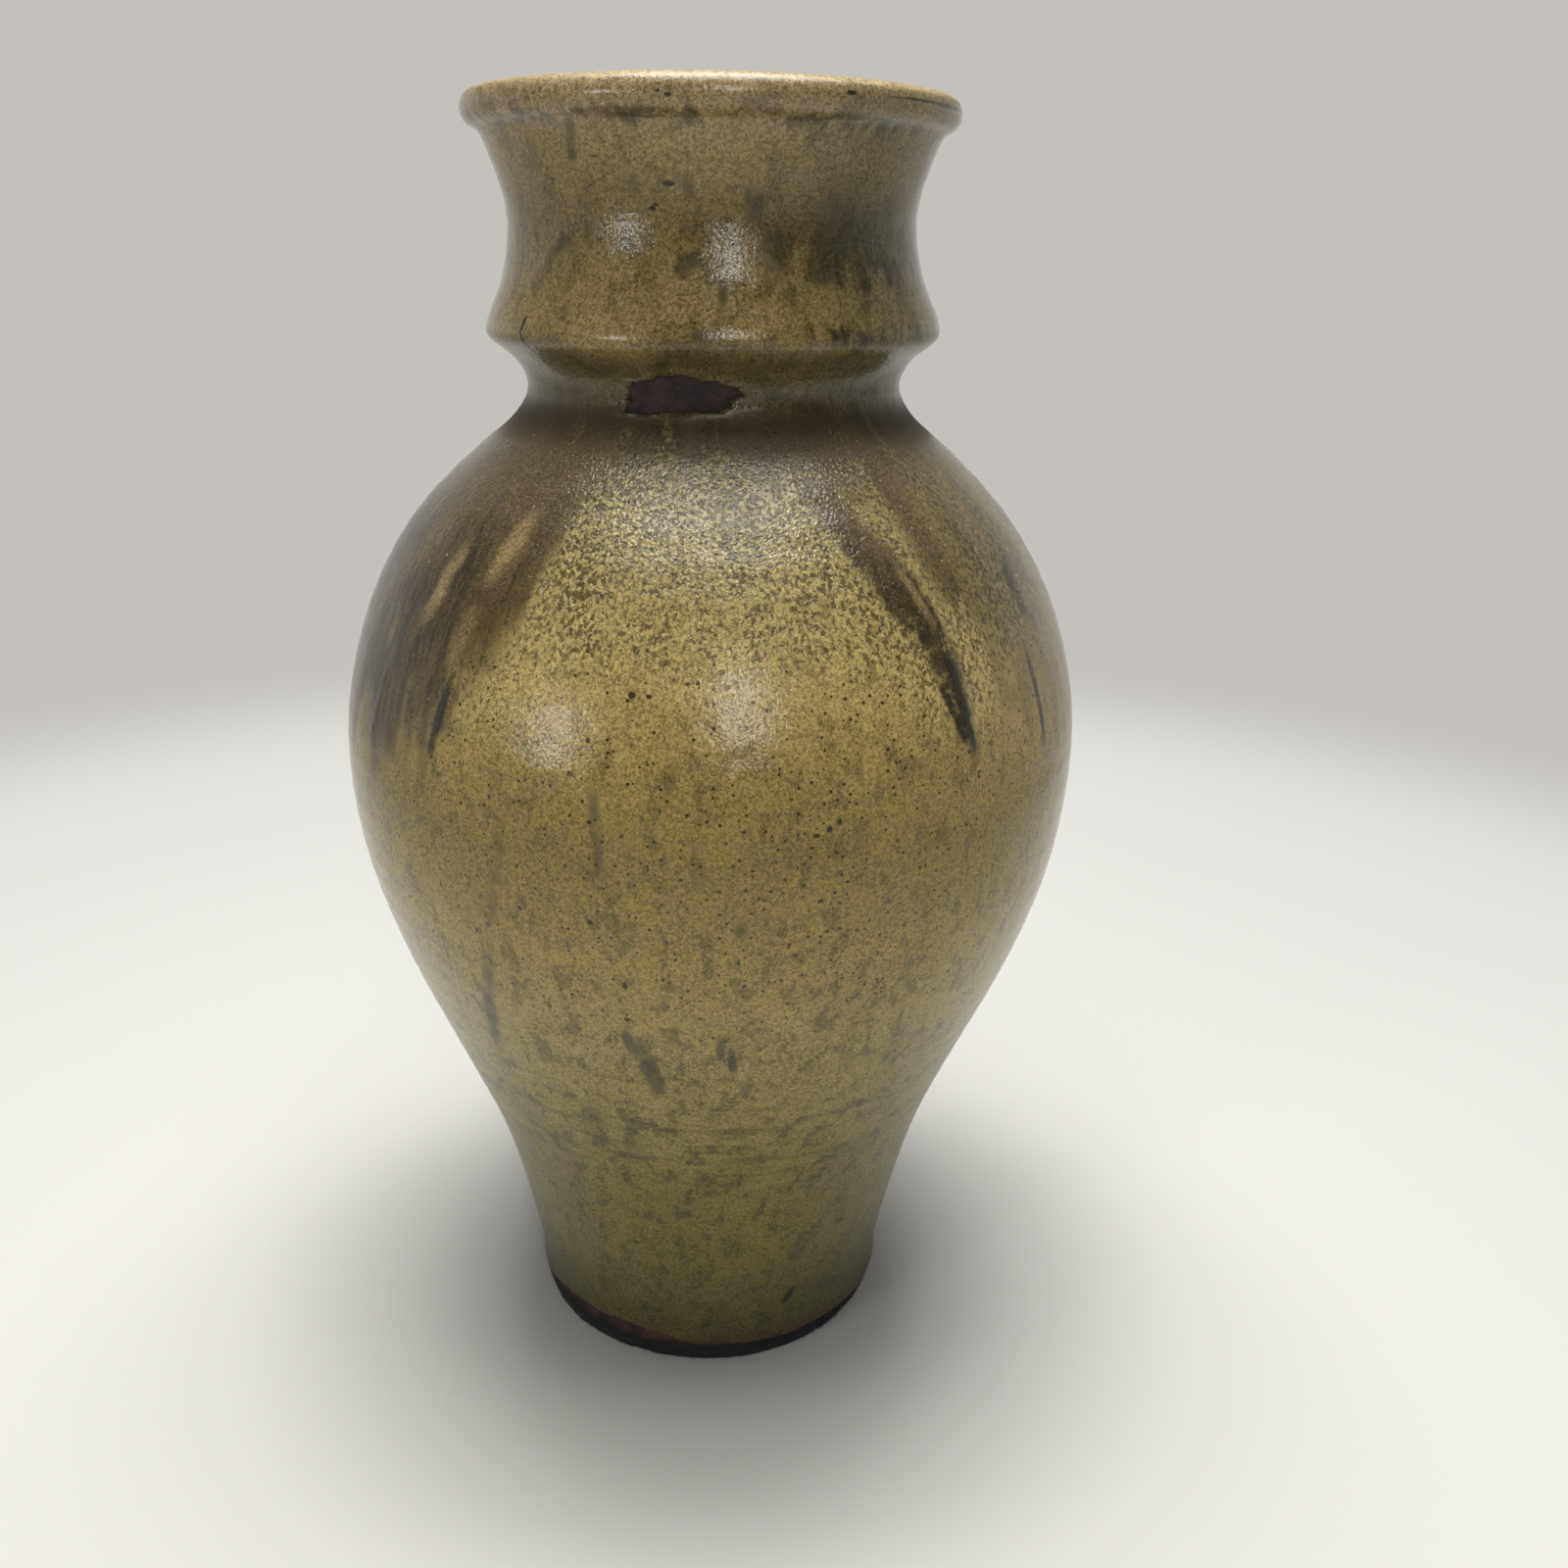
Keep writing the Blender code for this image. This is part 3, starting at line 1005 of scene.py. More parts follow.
class GlazePoint:
    """A point of the ash glaze, with the noises that its layers share.

    Attributes:
        board: Where its nodes are.
        place: The point itself.
        azimuth: Round the pot.
        height: Above the table.
        streaky: Noise that runs down the wall in broad streaks.
        threads: The same in fine threads.
        smears: Noise drawn out upright.
        blots: The same, but rounder.
        cloudy: Broad noise.
        patchy: Noise in small patches.
        grain: Noise as fine as sand.
        dust: Noise as fine as dust.
        texture: Grain and dust together, 0 to 1.
    """

    def __init__(self, board: Board) -> None:
        """Adds the point and its noises to a board."""
        self.board = board
        self.place = board.place()
        radius, self.azimuth, self.height = self.place.round_axis()
        x, y, _ = self.place.xyz()
        down = board.vector(x / radius * 80.0, y / radius * 80.0, self.height * 0.2)
        self.streaky = board.noise(down, 7.0, 3.0)
        self.threads = board.noise(down, 2.4, 3.0, 0.6)
        self.smears = board.noise(board.squashed(self.place, 0.4), 5.0, 4.0, 0.65, 0.6)
        self.blots = board.noise(board.squashed(self.place, 0.75), 4.4, 3.0, 0.6, 0.5)
        self.cloudy = board.noise(self.place, 24.0, 3.0)
        self.patchy = board.noise(self.place, 7.0, 3.0, 0.6)
        self.grain = board.noise(self.place, 1.05, 2.0, 0.7)
        self.dust = board.noise(self.place, 0.5, 1.0)
        self.texture = (self.grain * 0.5 + self.dust * 0.5).rise(0.35, 0.65)


@dataclass(frozen=True)
class AshGlaze:
    """The runny ash glaze on the outside: tan belly, crystals, amber shoulder and iron specks."""

    # (height, colour) up the pot. The darkening towards the foot is partly painted shade, and the dark stop
    # at 292 is painted shade
    ground: tuple[tuple[float, Colour], ...] = (
        (0, (66, 60, 33)),
        (16, (78, 72, 38)),
        (45, (104, 95, 51)),
        (80, (112, 101, 54)),
        (110, (130, 117, 66)),
        (140, (138, 123, 71)),
        (170, (138, 120, 63)),
        (200, (122, 105, 48)),
        (240, (152, 133, 80)),
        (262, (126, 113, 71)),
        (284, (106, 94, 64)),
        # painted shade: the dark band where the shoulder turns into the neck, under the collar
        (292, (50, 42, 29)),
        (306, (84, 74, 48)),
        (314, (88, 77, 48)),
        (322, (127, 110, 69)),
        (334, (134, 117, 76)),
        (350, (116, 100, 62)),
        (364, (123, 107, 69)),
        (375, (133, 116, 84)),
        (379, (136, 119, 84)),
    )
    # (azimuth, height) at which the clear amber glaze stops running down
    amber_ends: Table = (
        (-180, 236), (-160, 226), (-140, 245), (-120, 230), (-100, 222), (-85, 222), (-70, 212), (-58, 207),
        (-50, 218), (-42, 224), (-36, 242), (-31, 256), (-26, 274), (-20, 291), (-10, 296), (14, 296),
        (24, 292), (34, 282), (40, 254), (48, 236), (58, 224), (75, 222), (90, 236), (105, 226), (120, 242),
        (140, 228), (160, 246), (180, 236),
    )
    amber: Colour = (66, 52, 31)
    deep_amber: Colour = (27, 20, 12)
    dusty_amber: Colour = (96, 81, 57)
    olive: Colour = (160, 145, 88)
    channel: Colour = (74, 66, 40)
    iron: Colour = (38, 35, 23)
    straw: Colour = (140, 121, 80)
    slate: Colour = (56, 53, 37)
    speck: Colour = (38, 28, 18)
    rust: Colour = (104, 62, 32)
    grey_green: Colour = (76, 73, 52)
    # dark brown: the collar's dark smears, and painted shade on the neck
    dark_smear_and_shade: Colour = (50, 42, 28)
    # pale colour of the rim's lip and of the pale specks, partly painted highlight and sparkle
    cream_and_glint: Colour = (174, 154, 113)
    clay_stain: Colour = (70, 44, 32)
    cracked: Colour = (40, 18, 10)

    def material(self) -> bpy.types.Material:
        """The finished material."""
        at = GlazePoint(Board.of("ash glaze"))
        board, height, patchy, texture = at.board, at.height, at.patchy, at.texture
        marks = self._marks(at)
        torn = 0.2 + patchy.rise(0.35, 0.65) * 0.75 + texture * 0.65
        channels, crystals = self._crystals(at)
        colour = self._collar(at, self._lower_wall(at, self._ground(at)))
        colour = board.mix(channels, colour, self.channel)
        colour = board.mix(crystals, colour, self.olive)
        colour = board.mix((marks[SLATE] * torn).rise(0.1, 0.95) * 0.8, colour, self.slate)
        amber = self._amber_share(at, (marks[AMBER] * torn).rise(0.1, 0.85))
        colour = board.mix(amber, colour, self._thick_amber(at, marks[AMBER]))
        straw = (marks[STRAW] * (0.5 + patchy * 0.8)).rise(0.1, 1.0)
        colour = board.mix(straw * 0.8, colour, self.straw)
        colour = board.shaded(colour, 0.2 + texture + patchy * 0.5 + at.cloudy * 0.3)
        colour, dark = self._flecks(at, colour)
        iron = (marks[IRON] * (0.45 + torn * 0.55)).rise(0.22, 0.62)
        colour = board.mix(iron * 0.94, colour, self.iron)
        crack = marks["crack"].rise(0.3, 0.6)
        colour = board.mix(crack, colour, self.cracked)

        rough = 0.08 - amber * 0.02 + height.rise(200, 90) * 0.18 + texture * 0.1 + dark * 0.1
        crease = height.rise(288.5, 293.5) * height.rise(306, 296)
        rough = rough + height.rise(376.5, 378.5) * 0.25 + crease * 0.45
        shoulder = height.rise(250, 268) * height.rise(298, 290)
        relief = patchy * 0.8 + at.grain * 0.3 + at.dust * 0.12 - channels * 0.35
        relief = relief + (0.5 - board.cells(at.place, 0.95)) * (0.14 + shoulder * 0.4)
        relief = relief - dark * 0.3 - crack * 1.2 + iron * 0.3
        return board.surface({
            "Base Color": colour,
            "Roughness": rough,
            "Normal": board.bump(relief, 0.3),
            "IOR": 1.4,
            "Coat Weight": (1.0 - crease) * 0.15,
            "Coat Roughness": 0.32,
        })

    def _marks(self, at: GlazePoint) -> dict[Any, Wire]:
        """How much of each kind of mark there is.

        Args:
            at: The point.

        Returns:
            The strongest mark of each tint, and of the crack.
        """
        found: dict[Any, Wire] = {tint: at.board.painted(tint.name.lower()) for tint in Tint}
        radius, azimuth, height = at.board.strayed(at.place, 1.2, 0.55).round_axis()
        girth = radius * math.radians(1.0)
        fine = [(mark.tint, mark) for mark in ALL_MARKS if is_fine(mark)]
        for key, mark in [*fine, *(("crack", run) for run in CRACK)]:
            amount = mark.amount(azimuth, height, girth)
            found[key] = found[key] | amount if key in found else amount
        return found

    def _ground(self, at: GlazePoint) -> Wire:
        """The glaze's colour, which changes up the wall, with painted shade in the dark band at the neck and
        partly painted shade in the darkening towards the foot.
        """
        stops = [(level / POT_HEIGHT, linear(colour)) for level, colour in self.ground]
        level = (at.height + (at.cloudy - 0.5) * 16.0) / POT_HEIGHT
        return at.board.node("ShaderNodeValToRGB", {"stops": stops}, {0: level})

    def _lower_wall(self, at: GlazePoint, colour: Wire) -> Wire:
        """Greens the belly and lower wall in upright smears and level rings, and stains the foot.

        Args:
            at: The point.
            colour: The glaze so far.

        Returns:
            The glaze's colour.
        """
        board, height = at.board, at.height
        smear = (at.smears * 0.45 + at.blots * 0.55).rise(0.5, 0.6)
        low = height.rise(200, 120) * 0.2 + 0.4
        colour = board.mix(smear * low * height.rise(246, 222), colour, self.slate)
        x, y, z = at.place.xyz()
        rings = board.noise(board.vector(x * 0.1, y * 0.1, z), 3.0, 2.0).rise(0.54, 0.64)
        colour = board.mix(rings * bell((height - 105.0) / 24.0) * 0.35, colour, self.slate)
        foot = height + (at.patchy - 0.5) * 5.0
        return board.mix(foot.rise(13.0, 8.0) * 0.5, colour, self.clay_stain)

    def _collar(self, at: GlazePoint, colour: Wire) -> Wire:
        """Darkens the neck with painted shade, the band under the ridge with dark streaks and painted shade,
        the collar's waist and right side, the ridge there and the groove under the rim, and pales the lip,
        partly as a painted highlight along the rim's crest.

        Args:
            at: The point.
            colour: The glaze so far.

        Returns:
            The glaze's colour.
        """
        board, height, azimuth, smears, patchy = at.board, at.height, at.azimuth, at.smears, at.patchy
        collar = height.rise(300, 308)
        broken = smears.rise(0.4, 0.58)
        side = (azimuth + (patchy - 0.5) * 50.0).rise(0, 46) * azimuth.rise(150, 110)
        waist = bell((height - 343.0 + (smears - 0.5) * 26.0 + (patchy - 0.5) * 12.0) / 9.5)
        wisps = (smears * 0.6 + patchy * 0.5).rise(0.54, 0.68) * 0.4
        ridge = bell((height - 320.8 + (patchy - 0.5) * 4.0) / 2.3) * azimuth.rise(12, 22)
        ridge = ridge * azimuth.rise(84, 50)
        groove = bell((height - 370.6 + (patchy - 0.5) * 3.0) / 1.7) * smears.rise(0.42, 0.6)
        # the lip along the rim's crest: partly paler glaze, partly a painted highlight
        lip = (height + (patchy - 0.5) * 1.2).rise(378.0, 379.5)
        # painted shade: the neck band that the collar shades
        neck = (height + (smears - 0.5) * 10.0).rise(287, 293) * height.rise(302, 297)
        # dark streaks under the ridge, strongest on the right, partly painted shade beneath the ridge's
        # overhang
        dark_and_shade = height.rise(291, 296) * height.rise(311, 305) * (0.35 + side * 0.65) * broken
        dark_and_shade = dark_and_shade * (0.2 + patchy.rise(0.42, 0.56) * 0.8)
        for share, tint in (
            (collar * side * 0.4, self.grey_green),
            (waist * (0.3 + side * 0.6) * (0.35 + broken * 0.65), self.dark_smear_and_shade),
            (wisps * collar, self.dark_smear_and_shade),
            (ridge * smears.rise(0.38, 0.58) * 0.85, self.iron),
            (groove * 0.75, self.slate),
            (lip * 0.7, self.cream_and_glint),
            (neck * 0.85, self.dark_smear_and_shade),
            (dark_and_shade * 0.85, self.iron),
        ):
            colour = board.mix(share, colour, tint)
        return colour

    def _crystals(self, at: GlazePoint) -> tuple[Wire, Wire]:
        """The yellow-olive crystals on the shoulder, and the darker channels between them.

        Args:
            at: The point.

        Returns:
            How much the channels show, and how much the crystals show.
        """
        edge = at.height + (at.streaky - 0.5) * 30.0 + (at.patchy - 0.5) * 14.0
        zone = (edge + bell((abs(at.azimuth) - 36.0) / 11.0) * 16.0).rise(238, 252) * edge.rise(298, 284)
        worm = at.board.noise(at.board.squashed(at.place, 0.6), 1.2, 2.0, 0.6, 0.5)
        pits = (worm * 0.7 + at.streaky * 0.3).rise(0.5, 0.42)
        return zone * pits * 0.8, zone * worm.rise(0.46, 0.56) * 0.6

    def _amber_share(self, at: GlazePoint, runs: Wire) -> Wire:
        """How much clear amber glaze lies over the others.

        Args:
            at: The point.
            runs: How much of the amber runs there is.

        Returns:
            0 to 1.
        """
        highest, turn = 400.0, 360.0
        stops = [((start + 180) / turn, (level / highest,) * 3 + (1.0,)) for start, level in self.amber_ends]
        ends = at.board.node("ShaderNodeValToRGB", {"stops": stops}, {0: (at.azimuth + 180.0) / turn})
        line = ends.xyz()[0] * highest + (0.5 - at.streaky) * 60.0 + (0.5 - at.patchy) * 24.0
        height = at.height + (at.texture - 0.5) * 14.0
        zone = (height - line).rise(-9.0, 13.0) * height.rise(302, 292)
        thin = at.azimuth.rise(38, 48) * at.azimuth.rise(100, 80) * 0.4
        return (zone * (1.0 - thin) | runs) * 0.94

    def _thick_amber(self, at: GlazePoint, runs: Wire) -> Wire:
        """The colour of the clear amber glaze, deeper in threads and dusty towards the neck."""
        clear = (at.threads * 0.6 + at.streaky * 0.4).rise(0.42, 0.56) * (1.0 - runs * 0.4)
        thick = at.board.mix(clear, self.deep_amber, self.amber)
        dusty = (at.height + (at.streaky - 0.5) * 40.0).rise(256, 286) * 0.75
        return at.board.mix(dusty, thick, self.dusty_amber)

    def _flecks(self, at: GlazePoint, colour: Wire) -> tuple[Wire, Wire]:
        """Scatters specks of iron, rust and pale glaze through the glaze; the pale specks, most of them on
        the shoulder, are partly painted sparkle highlights.

        Args:
            at: The point.
            colour: The glaze under them.

        Returns:
            The colour with the specks, and how dark they are.
        """
        board, place, height = at.board, at.place, at.height
        belly = height.rise(90, 170) * height.rise(266, 240)
        thick = belly * 0.8 + height.rise(302, 312) * 0.3 + 0.12
        dark = board.specks(place, 3.8, -0.26, 0.16) * thick
        # pale specks: partly real, partly painted sparkle highlights, thickest on the shoulder
        pale_speck_and_sparkle = height.rise(236, 262) * height.rise(300, 290) * 0.65 + 0.25
        for share, tint in (
            (board.specks(place, 2.6, -0.26, 0.24) * thick * 0.5, self.rust),
            (board.specks(place, 1.6, -0.3, 0.32) * thick, self.speck),
            (dark, self.speck),
            (board.specks(place, 2.7, -0.4, 0.16) * pale_speck_and_sparkle, self.cream_and_glint),
        ):
            colour = board.mix(share, colour, tint)
        return colour, dark


@dataclass(frozen=True)
class LinerGlaze:
    """The plainer brown-green glaze inside."""

    top: Colour = (126, 106, 66)
    deep: Colour = (58, 46, 28)
    speck: Colour = (40, 28, 18)

    def material(self) -> bpy.types.Material:
        """The finished material."""
        board = Board.of("liner glaze")
        place = board.place()
        height = place.xyz()[2]
        cloudy = board.noise(place, 14.0, 4.0, 0.6)
        grain = board.noise(place, 1.4, 2.0)
        depth = (height + (cloudy - 0.5) * 30.0).rise(378, 330)
        colour = board.mix(depth, self.top, self.deep)
        colour = board.shaded(colour, 0.7 + cloudy * 0.35 + grain * 0.25)
        specks = board.specks(place, 2.6, -0.3, 0.26)
        colour = board.mix(specks * 0.8, colour, self.speck)
        return board.surface({
            "Base Color": colour,
            "Roughness": 0.22 + grain * 0.16,
            "Normal": board.bump(cloudy * 0.6 + grain * 0.3 - specks * 0.3, 0.3),
        })


@dataclass(frozen=True)
class BareClay:
    """Iron-rich stoneware where no glaze covers it."""

    body: Colour = (62, 45, 44)
    dark: Colour = (40, 31, 33)
    rust: Colour = (92, 56, 44)
    grog: Colour = (100, 82, 74)
    # near black: painted contact shadow at the foot's lowest edge, beside the felt
    dark_and_shade: Colour = (20, 18, 17)

    def material(self) -> bpy.types.Material:
        """The finished material."""
        board = Board.of("bare iron clay")
        place = board.place()
        height = place.xyz()[2]
        cloudy = board.noise(place, 5.0, 4.0, 0.65)
        grain = board.noise(place, 0.7, 3.0, 0.7)
        colour = board.mix(cloudy.rise(0.35, 0.65), self.dark, self.body)
        colour = board.mix(height.rise(20, 9) * 0.5 * cloudy.rise(0.4, 0.6), colour, self.rust)
        grog = board.specks(place, 1.5, -0.4, 0.22)
        colour = board.mix(grog * 0.5, colour, self.grog)
        # painted contact shadow: the clay below about 7 mm turns near black
        colour = board.mix((height + (cloudy - 0.5) * 2.0).rise(8.0, 6.6), colour, self.dark_and_shade)
        colour = board.shaded(colour, 0.1 + grain * 1.8)
        return board.surface({
            "Base Color": colour,
            "Roughness": 0.72 + grain * 0.25,
            "Normal": board.bump(grain + grog * 0.7 + cloudy * 0.8, 0.5),
        })


@dataclass(frozen=True)
class BlackFelt:
    """Pressed black felt with grey lint in it."""

    wool: Colour = (20, 19, 20)
    lint: Colour = (74, 72, 70)

    def material(self) -> bpy.types.Material:
        """The finished material."""
        board = Board.of("black felt")
        place = board.place()
        matted = board.noise(place, 0.8, 4.0, 0.7, 1.5)
        hairs = abs(board.noise(board.squashed(place, 2.0), 1.6, 3.0, 0.6, 2.5) - 0.5).rise(0.03, 0.0)
        colour = board.shaded(board.mix(hairs * 0.6, self.wool, self.lint), 0.5 + matted)
        return board.surface({
            "Base Color": colour,
            "Roughness": 0.9 + matted * 0.1,
            "Normal": board.bump(matted + hairs * 0.4, 0.3),
            "Specular IOR Level": 0.2,
            "Sheen Weight": 0.15,
            "Sheen Roughness": 0.5,
        })


@dataclass(frozen=True)
class PaleTable:
    """The plain pale top that the pot stands on. Far away it glows softly, as the surround does."""

    near: Colour = (208, 207, 202)
    far: Colour = (196, 193, 189)
    near_edge: float = 600.0
    far_edge: float = 880.0

    def material(self) -> bpy.types.Material:
        """The finished material."""
        board = Board.of("pale table")
        place = board.place()
        away = place.round_axis()[0].rise(self.near_edge, self.far_edge)
        fine = board.noise(place, 1.2, 2.0)
        return board.surface({
            "Base Color": board.mix(away, self.near, BLACK),
            "Roughness": 0.8,
            "Specular IOR Level": 0.0,
            "Emission Color": board.mix(away, BLACK, self.far),
            "Emission Strength": 1.0,
            "Normal": board.bump(fine, 0.06),
        })


# ---------------------------------------------------------------------------
# Pieces
# ---------------------------------------------------------------------------


@dataclass
class GlazeCoat:
    """The outer glaze: one skin from above the foot, over the rim, to a lap just inside it.

    Attributes:
        skin: The pot's glazed line.
        throwing: How the wall strays.
        patch: Where the coat is open.
        thickness: Of the coat.
        foot_thickness: Of the coat where it ends above the foot.
        lap_depth: How far below the crest the coat ends inside.
        lap_thickness: Of the coat inside the rim, over the lining.
        edge_radius: Of its rounded edges.
        squeezed_to: The height up to which its wavy lower edge moves the rows.
        patch_reach: How far above and below its middle the patch may shape the coat.
        column_steps: (azimuth, degrees) pairs: columns from here on are this far apart.
        spacing: (height, millimetres) pairs: rows are this far apart at each height.
    """

    skin: Skin
    throwing: Throwing
    patch: CrawledPatch
    thickness: float = 0.78
    foot_thickness: float = 0.5
    lap_depth: float = 7.6
    lap_thickness: float = 0.36
    edge_radius: float = 1.1
    squeezed_to: float = 20.0
    patch_reach: float = 12.0
    column_steps: Table = (
        (-180.0, 1.7), (-64.0, 0.9), (-31.0, 0.64), (13.0, 0.9), (64.0, 1.7),
    )
    spacing: Table = (
        (0, 0.5), (10, 0.5), (13, 2.4), (296, 2.3), (299, 0.6), (311.5, 0.6), (314, 0.8), (326, 0.8),
        (329, 2.2), (364, 2.2), (368, 0.75), (380, 0.75),
    )

    def columns(self) -> np.ndarray:
        """The azimuth of each column, once round."""
        starts = [*(start for start, _ in self.column_steps), 180.0]
        return np.concatenate([
            np.linspace(start, end, round((end - start) / step), endpoint=False)
            for (start, step), end in zip(self.column_steps, starts[1:])
        ])

    def lower_edge(self, azimuth: np.ndarray) -> np.ndarray:
        """The height at which the coat ends above the foot, which the potter wiped by hand."""
        turn = np.radians((azimuth + 180) % 360 - 180)
        away = (np.degrees(turn) + 36) / 26
        wiped = 5.4 / (1 + away**4)
        ragged = 0.3 * np.sin(3 * turn + 0.4) + 0.2 * np.sin(11 * turn) + 0.15 * np.sin(23 * turn)
        return 6.0 + wiped + ragged

    def relief(self, azimuth: np.ndarray, height: np.ndarray, girth: np.ndarray) -> np.ndarray:
        """Millimetres that runs, blots and ripples of glaze stand out."""
        out = 0.0 * azimuth
        for mark in SHOULDER_RUNS + WALL_MARKS + COLLAR_MARKS:
            if mark.proud:
                out = out + mark.proud * mark.amount(azimuth, height, girth)
        return out

    def rounding(self, inward: np.ndarray, most: float | np.ndarray) -> np.ndarray:
        """How far the coat has thinned at a distance in from its edge."""
        share = np.clip(1 - inward / self.edge_radius, 0, 1)
        return 0.8 * most * (1 - np.sqrt(1 - share**2))

    def build(self) -> bpy.types.Object:
        """Makes the mesh.

        Returns:
            The object, a closed shell with an opening at the crawled patch.
        """
        skin = self.skin
        last = skin.below_crest(self.lap_depth)
        rows = skin.rows(0, last, self.spacing)
        line, normal = skin.line[rows], outward(skin.line)[rows]
        azimuth = np.tile(self.columns(), (len(rows), 1))
        azimuth = (azimuth + 180) % 360 - 180
        radius = np.repeat(line[:, :1], azimuth.shape[1], axis=1)
        height = np.repeat(line[:, 1:], azimuth.shape[1], axis=1)
        outside = (rows <= skin.crest)[:, None]

        # the wavy lower edge squeezes the rows just above it
        edge, start = self.lower_edge(azimuth), line[0, 1]
        squeezed = edge + (height - start) * (self.squeezed_to - edge) / (self.squeezed_to - start)
        height = np.where(outside & (height < self.squeezed_to), squeezed, height)

        girth = math.radians(self._neck_radius())
        near = (np.abs(height - self.patch.height) < self.patch_reach) & outside
        apart = np.where(near, self.patch.distance(azimuth, height, girth), OUTSIDE)
        gone = self._open_cells(apart)
        rim = self._rim_of(gone)
        turned, level = self.patch.snapped(azimuth, height, girth)
        azimuth, height = np.where(rim, turned, azimuth), np.where(rim, level, height)
        radius = np.where(rim, np.interp(height, *self._neck_line()), radius)
        apart = np.where(rim, 0.0, apart)

        swell = self.throwing.swell(azimuth, height) * self._calm(rows, line)
        deep = self._depth(line, outside)
        below = np.where(outside, height - edge, OUTSIDE)
        along = distances(line)
        inside_edge = np.repeat((along[-1] - along)[:, None], azimuth.shape[1], axis=1)
        inward = np.minimum(np.minimum(below, inside_edge), np.maximum(apart, 0))
        bead = self._bead(apart, 1.5, 0.3) + self._bead(below, 1.4, 0.1)
        relief = self.relief(azimuth, height, radius * math.radians(1)) * outside
        front = swell + relief + bead - self.rounding(inward, deep)
        mesh = PotMesh()
        first = mesh.add(self._placed(radius, height, azimuth, normal, front))
        mesh.sheet(*azimuth.shape, first, gaps=gone)

        kept = self._back_rows(rows, line, gone)
        back = (swell - deep)[kept]
        pick = (radius[kept], height[kept], azimuth[kept], normal[kept])
        behind = mesh.add(self._placed(*pick, back))
        mesh.sheet(len(kept), azimuth.shape[1], behind, gaps=gone[kept], inside_out=True)
        self._walls(mesh, first, behind, kept, gone)
        paint = broad_marks(azimuth, height, radius * math.radians(1))
        return mesh.made("glaze_coat", 60.0, paint)

    @staticmethod
    def _bead(inward: np.ndarray, middle: float, size: float) -> np.ndarray:
        """How far the coat swells in a bead, with its middle this far in from an edge."""
        return size * np.exp(-(((inward - middle) / 0.8) ** 2))

    def _neck_line(self) -> tuple[np.ndarray, np.ndarray]:
        """Heights and radii of the outside line near the crawled patch."""
        line = self.skin.line[: self.skin.crest]
        near = line[np.abs(line[:, 1] - self.patch.height) < self.patch_reach + 2]
        return near[:, 1], near[:, 0]

    def _neck_radius(self) -> float:
        """The radius at the middle of the patch."""
        return float(np.interp(self.patch.height, *self._neck_line()))

    @staticmethod
    def _open_cells(apart: np.ndarray) -> np.ndarray:
        """The cells whose middle lies in the patch, as a mask of rows by columns."""
        right = np.roll(apart, -1, axis=1)
        up, across = np.roll(apart, -1, axis=0), np.roll(right, -1, axis=0)
        return (apart + right + up + across) / 4 < 0

    @staticmethod
    def _rim_of(gone: np.ndarray) -> np.ndarray:
        """The points that touch both an open cell and a kept one."""
        left = np.roll(gone, 1, axis=1)
        four = [gone, left, np.roll(gone, 1, axis=0), np.roll(left, 1, axis=0)]
        open_count = sum(part.astype(int) for part in four)
        return (open_count > 0) & (open_count < 4)

    def _calm(self, rows: np.ndarray, line: Line) -> np.ndarray:
        """How much of the wall's swell each row takes: little at the rolled rim and inside it."""
        share = np.where(rows <= self.skin.crest, np.interp(line[:, 1], (362, 372), (1.0, 0.5)), 0.5)
        return share[:, None]

    def _depth(self, line: Line, outside: np.ndarray) -> np.ndarray:
        """The coat's thickness in each row."""
        depth = np.interp(line[:, 1], (8, 16), (self.foot_thickness, self.thickness))[:, None]
        lap = np.interp(line[:, 1], (376, 379.5), (self.lap_thickness, self.thickness))[:, None]
        return np.where(outside, depth, lap)

    def _placed(self, radius: np.ndarray, height: np.ndarray, azimuth: np.ndarray, normal: Line,
                out: np.ndarray) -> np.ndarray:
        """Points in space, moved out from the line along its normals.

        Args:
            radius: Of the line, for each point.
            height: Of the line.
            azimuth: Of the points.
            normal: Of the line, for each row.
            out: How far to move each point.

        Returns:
            The points, in millimetres.
        """
        points = on_wheel(radius + normal[:, :1] * out, height + normal[:, 1:] * out, azimuth)
        return self.throwing.settle(points)

    def _back_rows(self, rows: np.ndarray, line: Line, gone: np.ndarray) -> np.ndarray:
        """The rows that the back of the coat keeps: every one by the patch, and few elsewhere."""
        needed = np.flatnonzero(gone.any(axis=1))
        low, high = needed.min() - 1, needed.max() + 2
        kept = {0, len(rows) - 1, *range(low, high + 1)}
        kept.update(range(0, len(rows), 7))
        kept.update(i for i in range(0, len(rows), 3) if line[i, 1] > 300)
        return np.array(sorted(kept))

    @staticmethod
    def _walls(mesh: PotMesh, first: int, behind: int, kept: np.ndarray, gone: np.ndarray) -> None:
        """Joins the front of the coat to its back, along both ends and round the opening.

        Args:
            mesh: To add faces to.
            first: The index of the front's first point.
            behind: The index of the back's first point.
            kept: The rows that the back has.
            gone: The open cells.
        """
        rows, columns = gone.shape
        back_row = {int(row): i for i, row in enumerate(kept)}

        def wall(a: tuple[int, int], b: tuple[int, int]) -> None:
            """One face between an edge of the front and the same edge of the back."""
            (i, j), (k, m) = a, b
            j, m = j % columns, m % columns
            mesh.faces.append((
                first + k * columns + m,
                first + i * columns + j,
                behind + back_row[i] * columns + j,
                behind + back_row[k] * columns + m,
            ))

        for j in range(columns):
            wall((0, j), (0, j + 1))
            wall((rows - 1, j + 1), (rows - 1, j))
        for i, j in zip(*np.nonzero(gone)):
            i, j = int(i), int(j)
            if not gone[i - 1, j]:
                wall((i, j + 1), (i, j))
            if not gone[i + 1, j]:
                wall((i + 1, j), (i + 1, j + 1))
            if not gone[i, j - 1]:
                wall((i, j), (i + 1, j))
            if not gone[i, (j + 1) % columns]:
                wall((i + 1, j + 1), (i, j + 1))


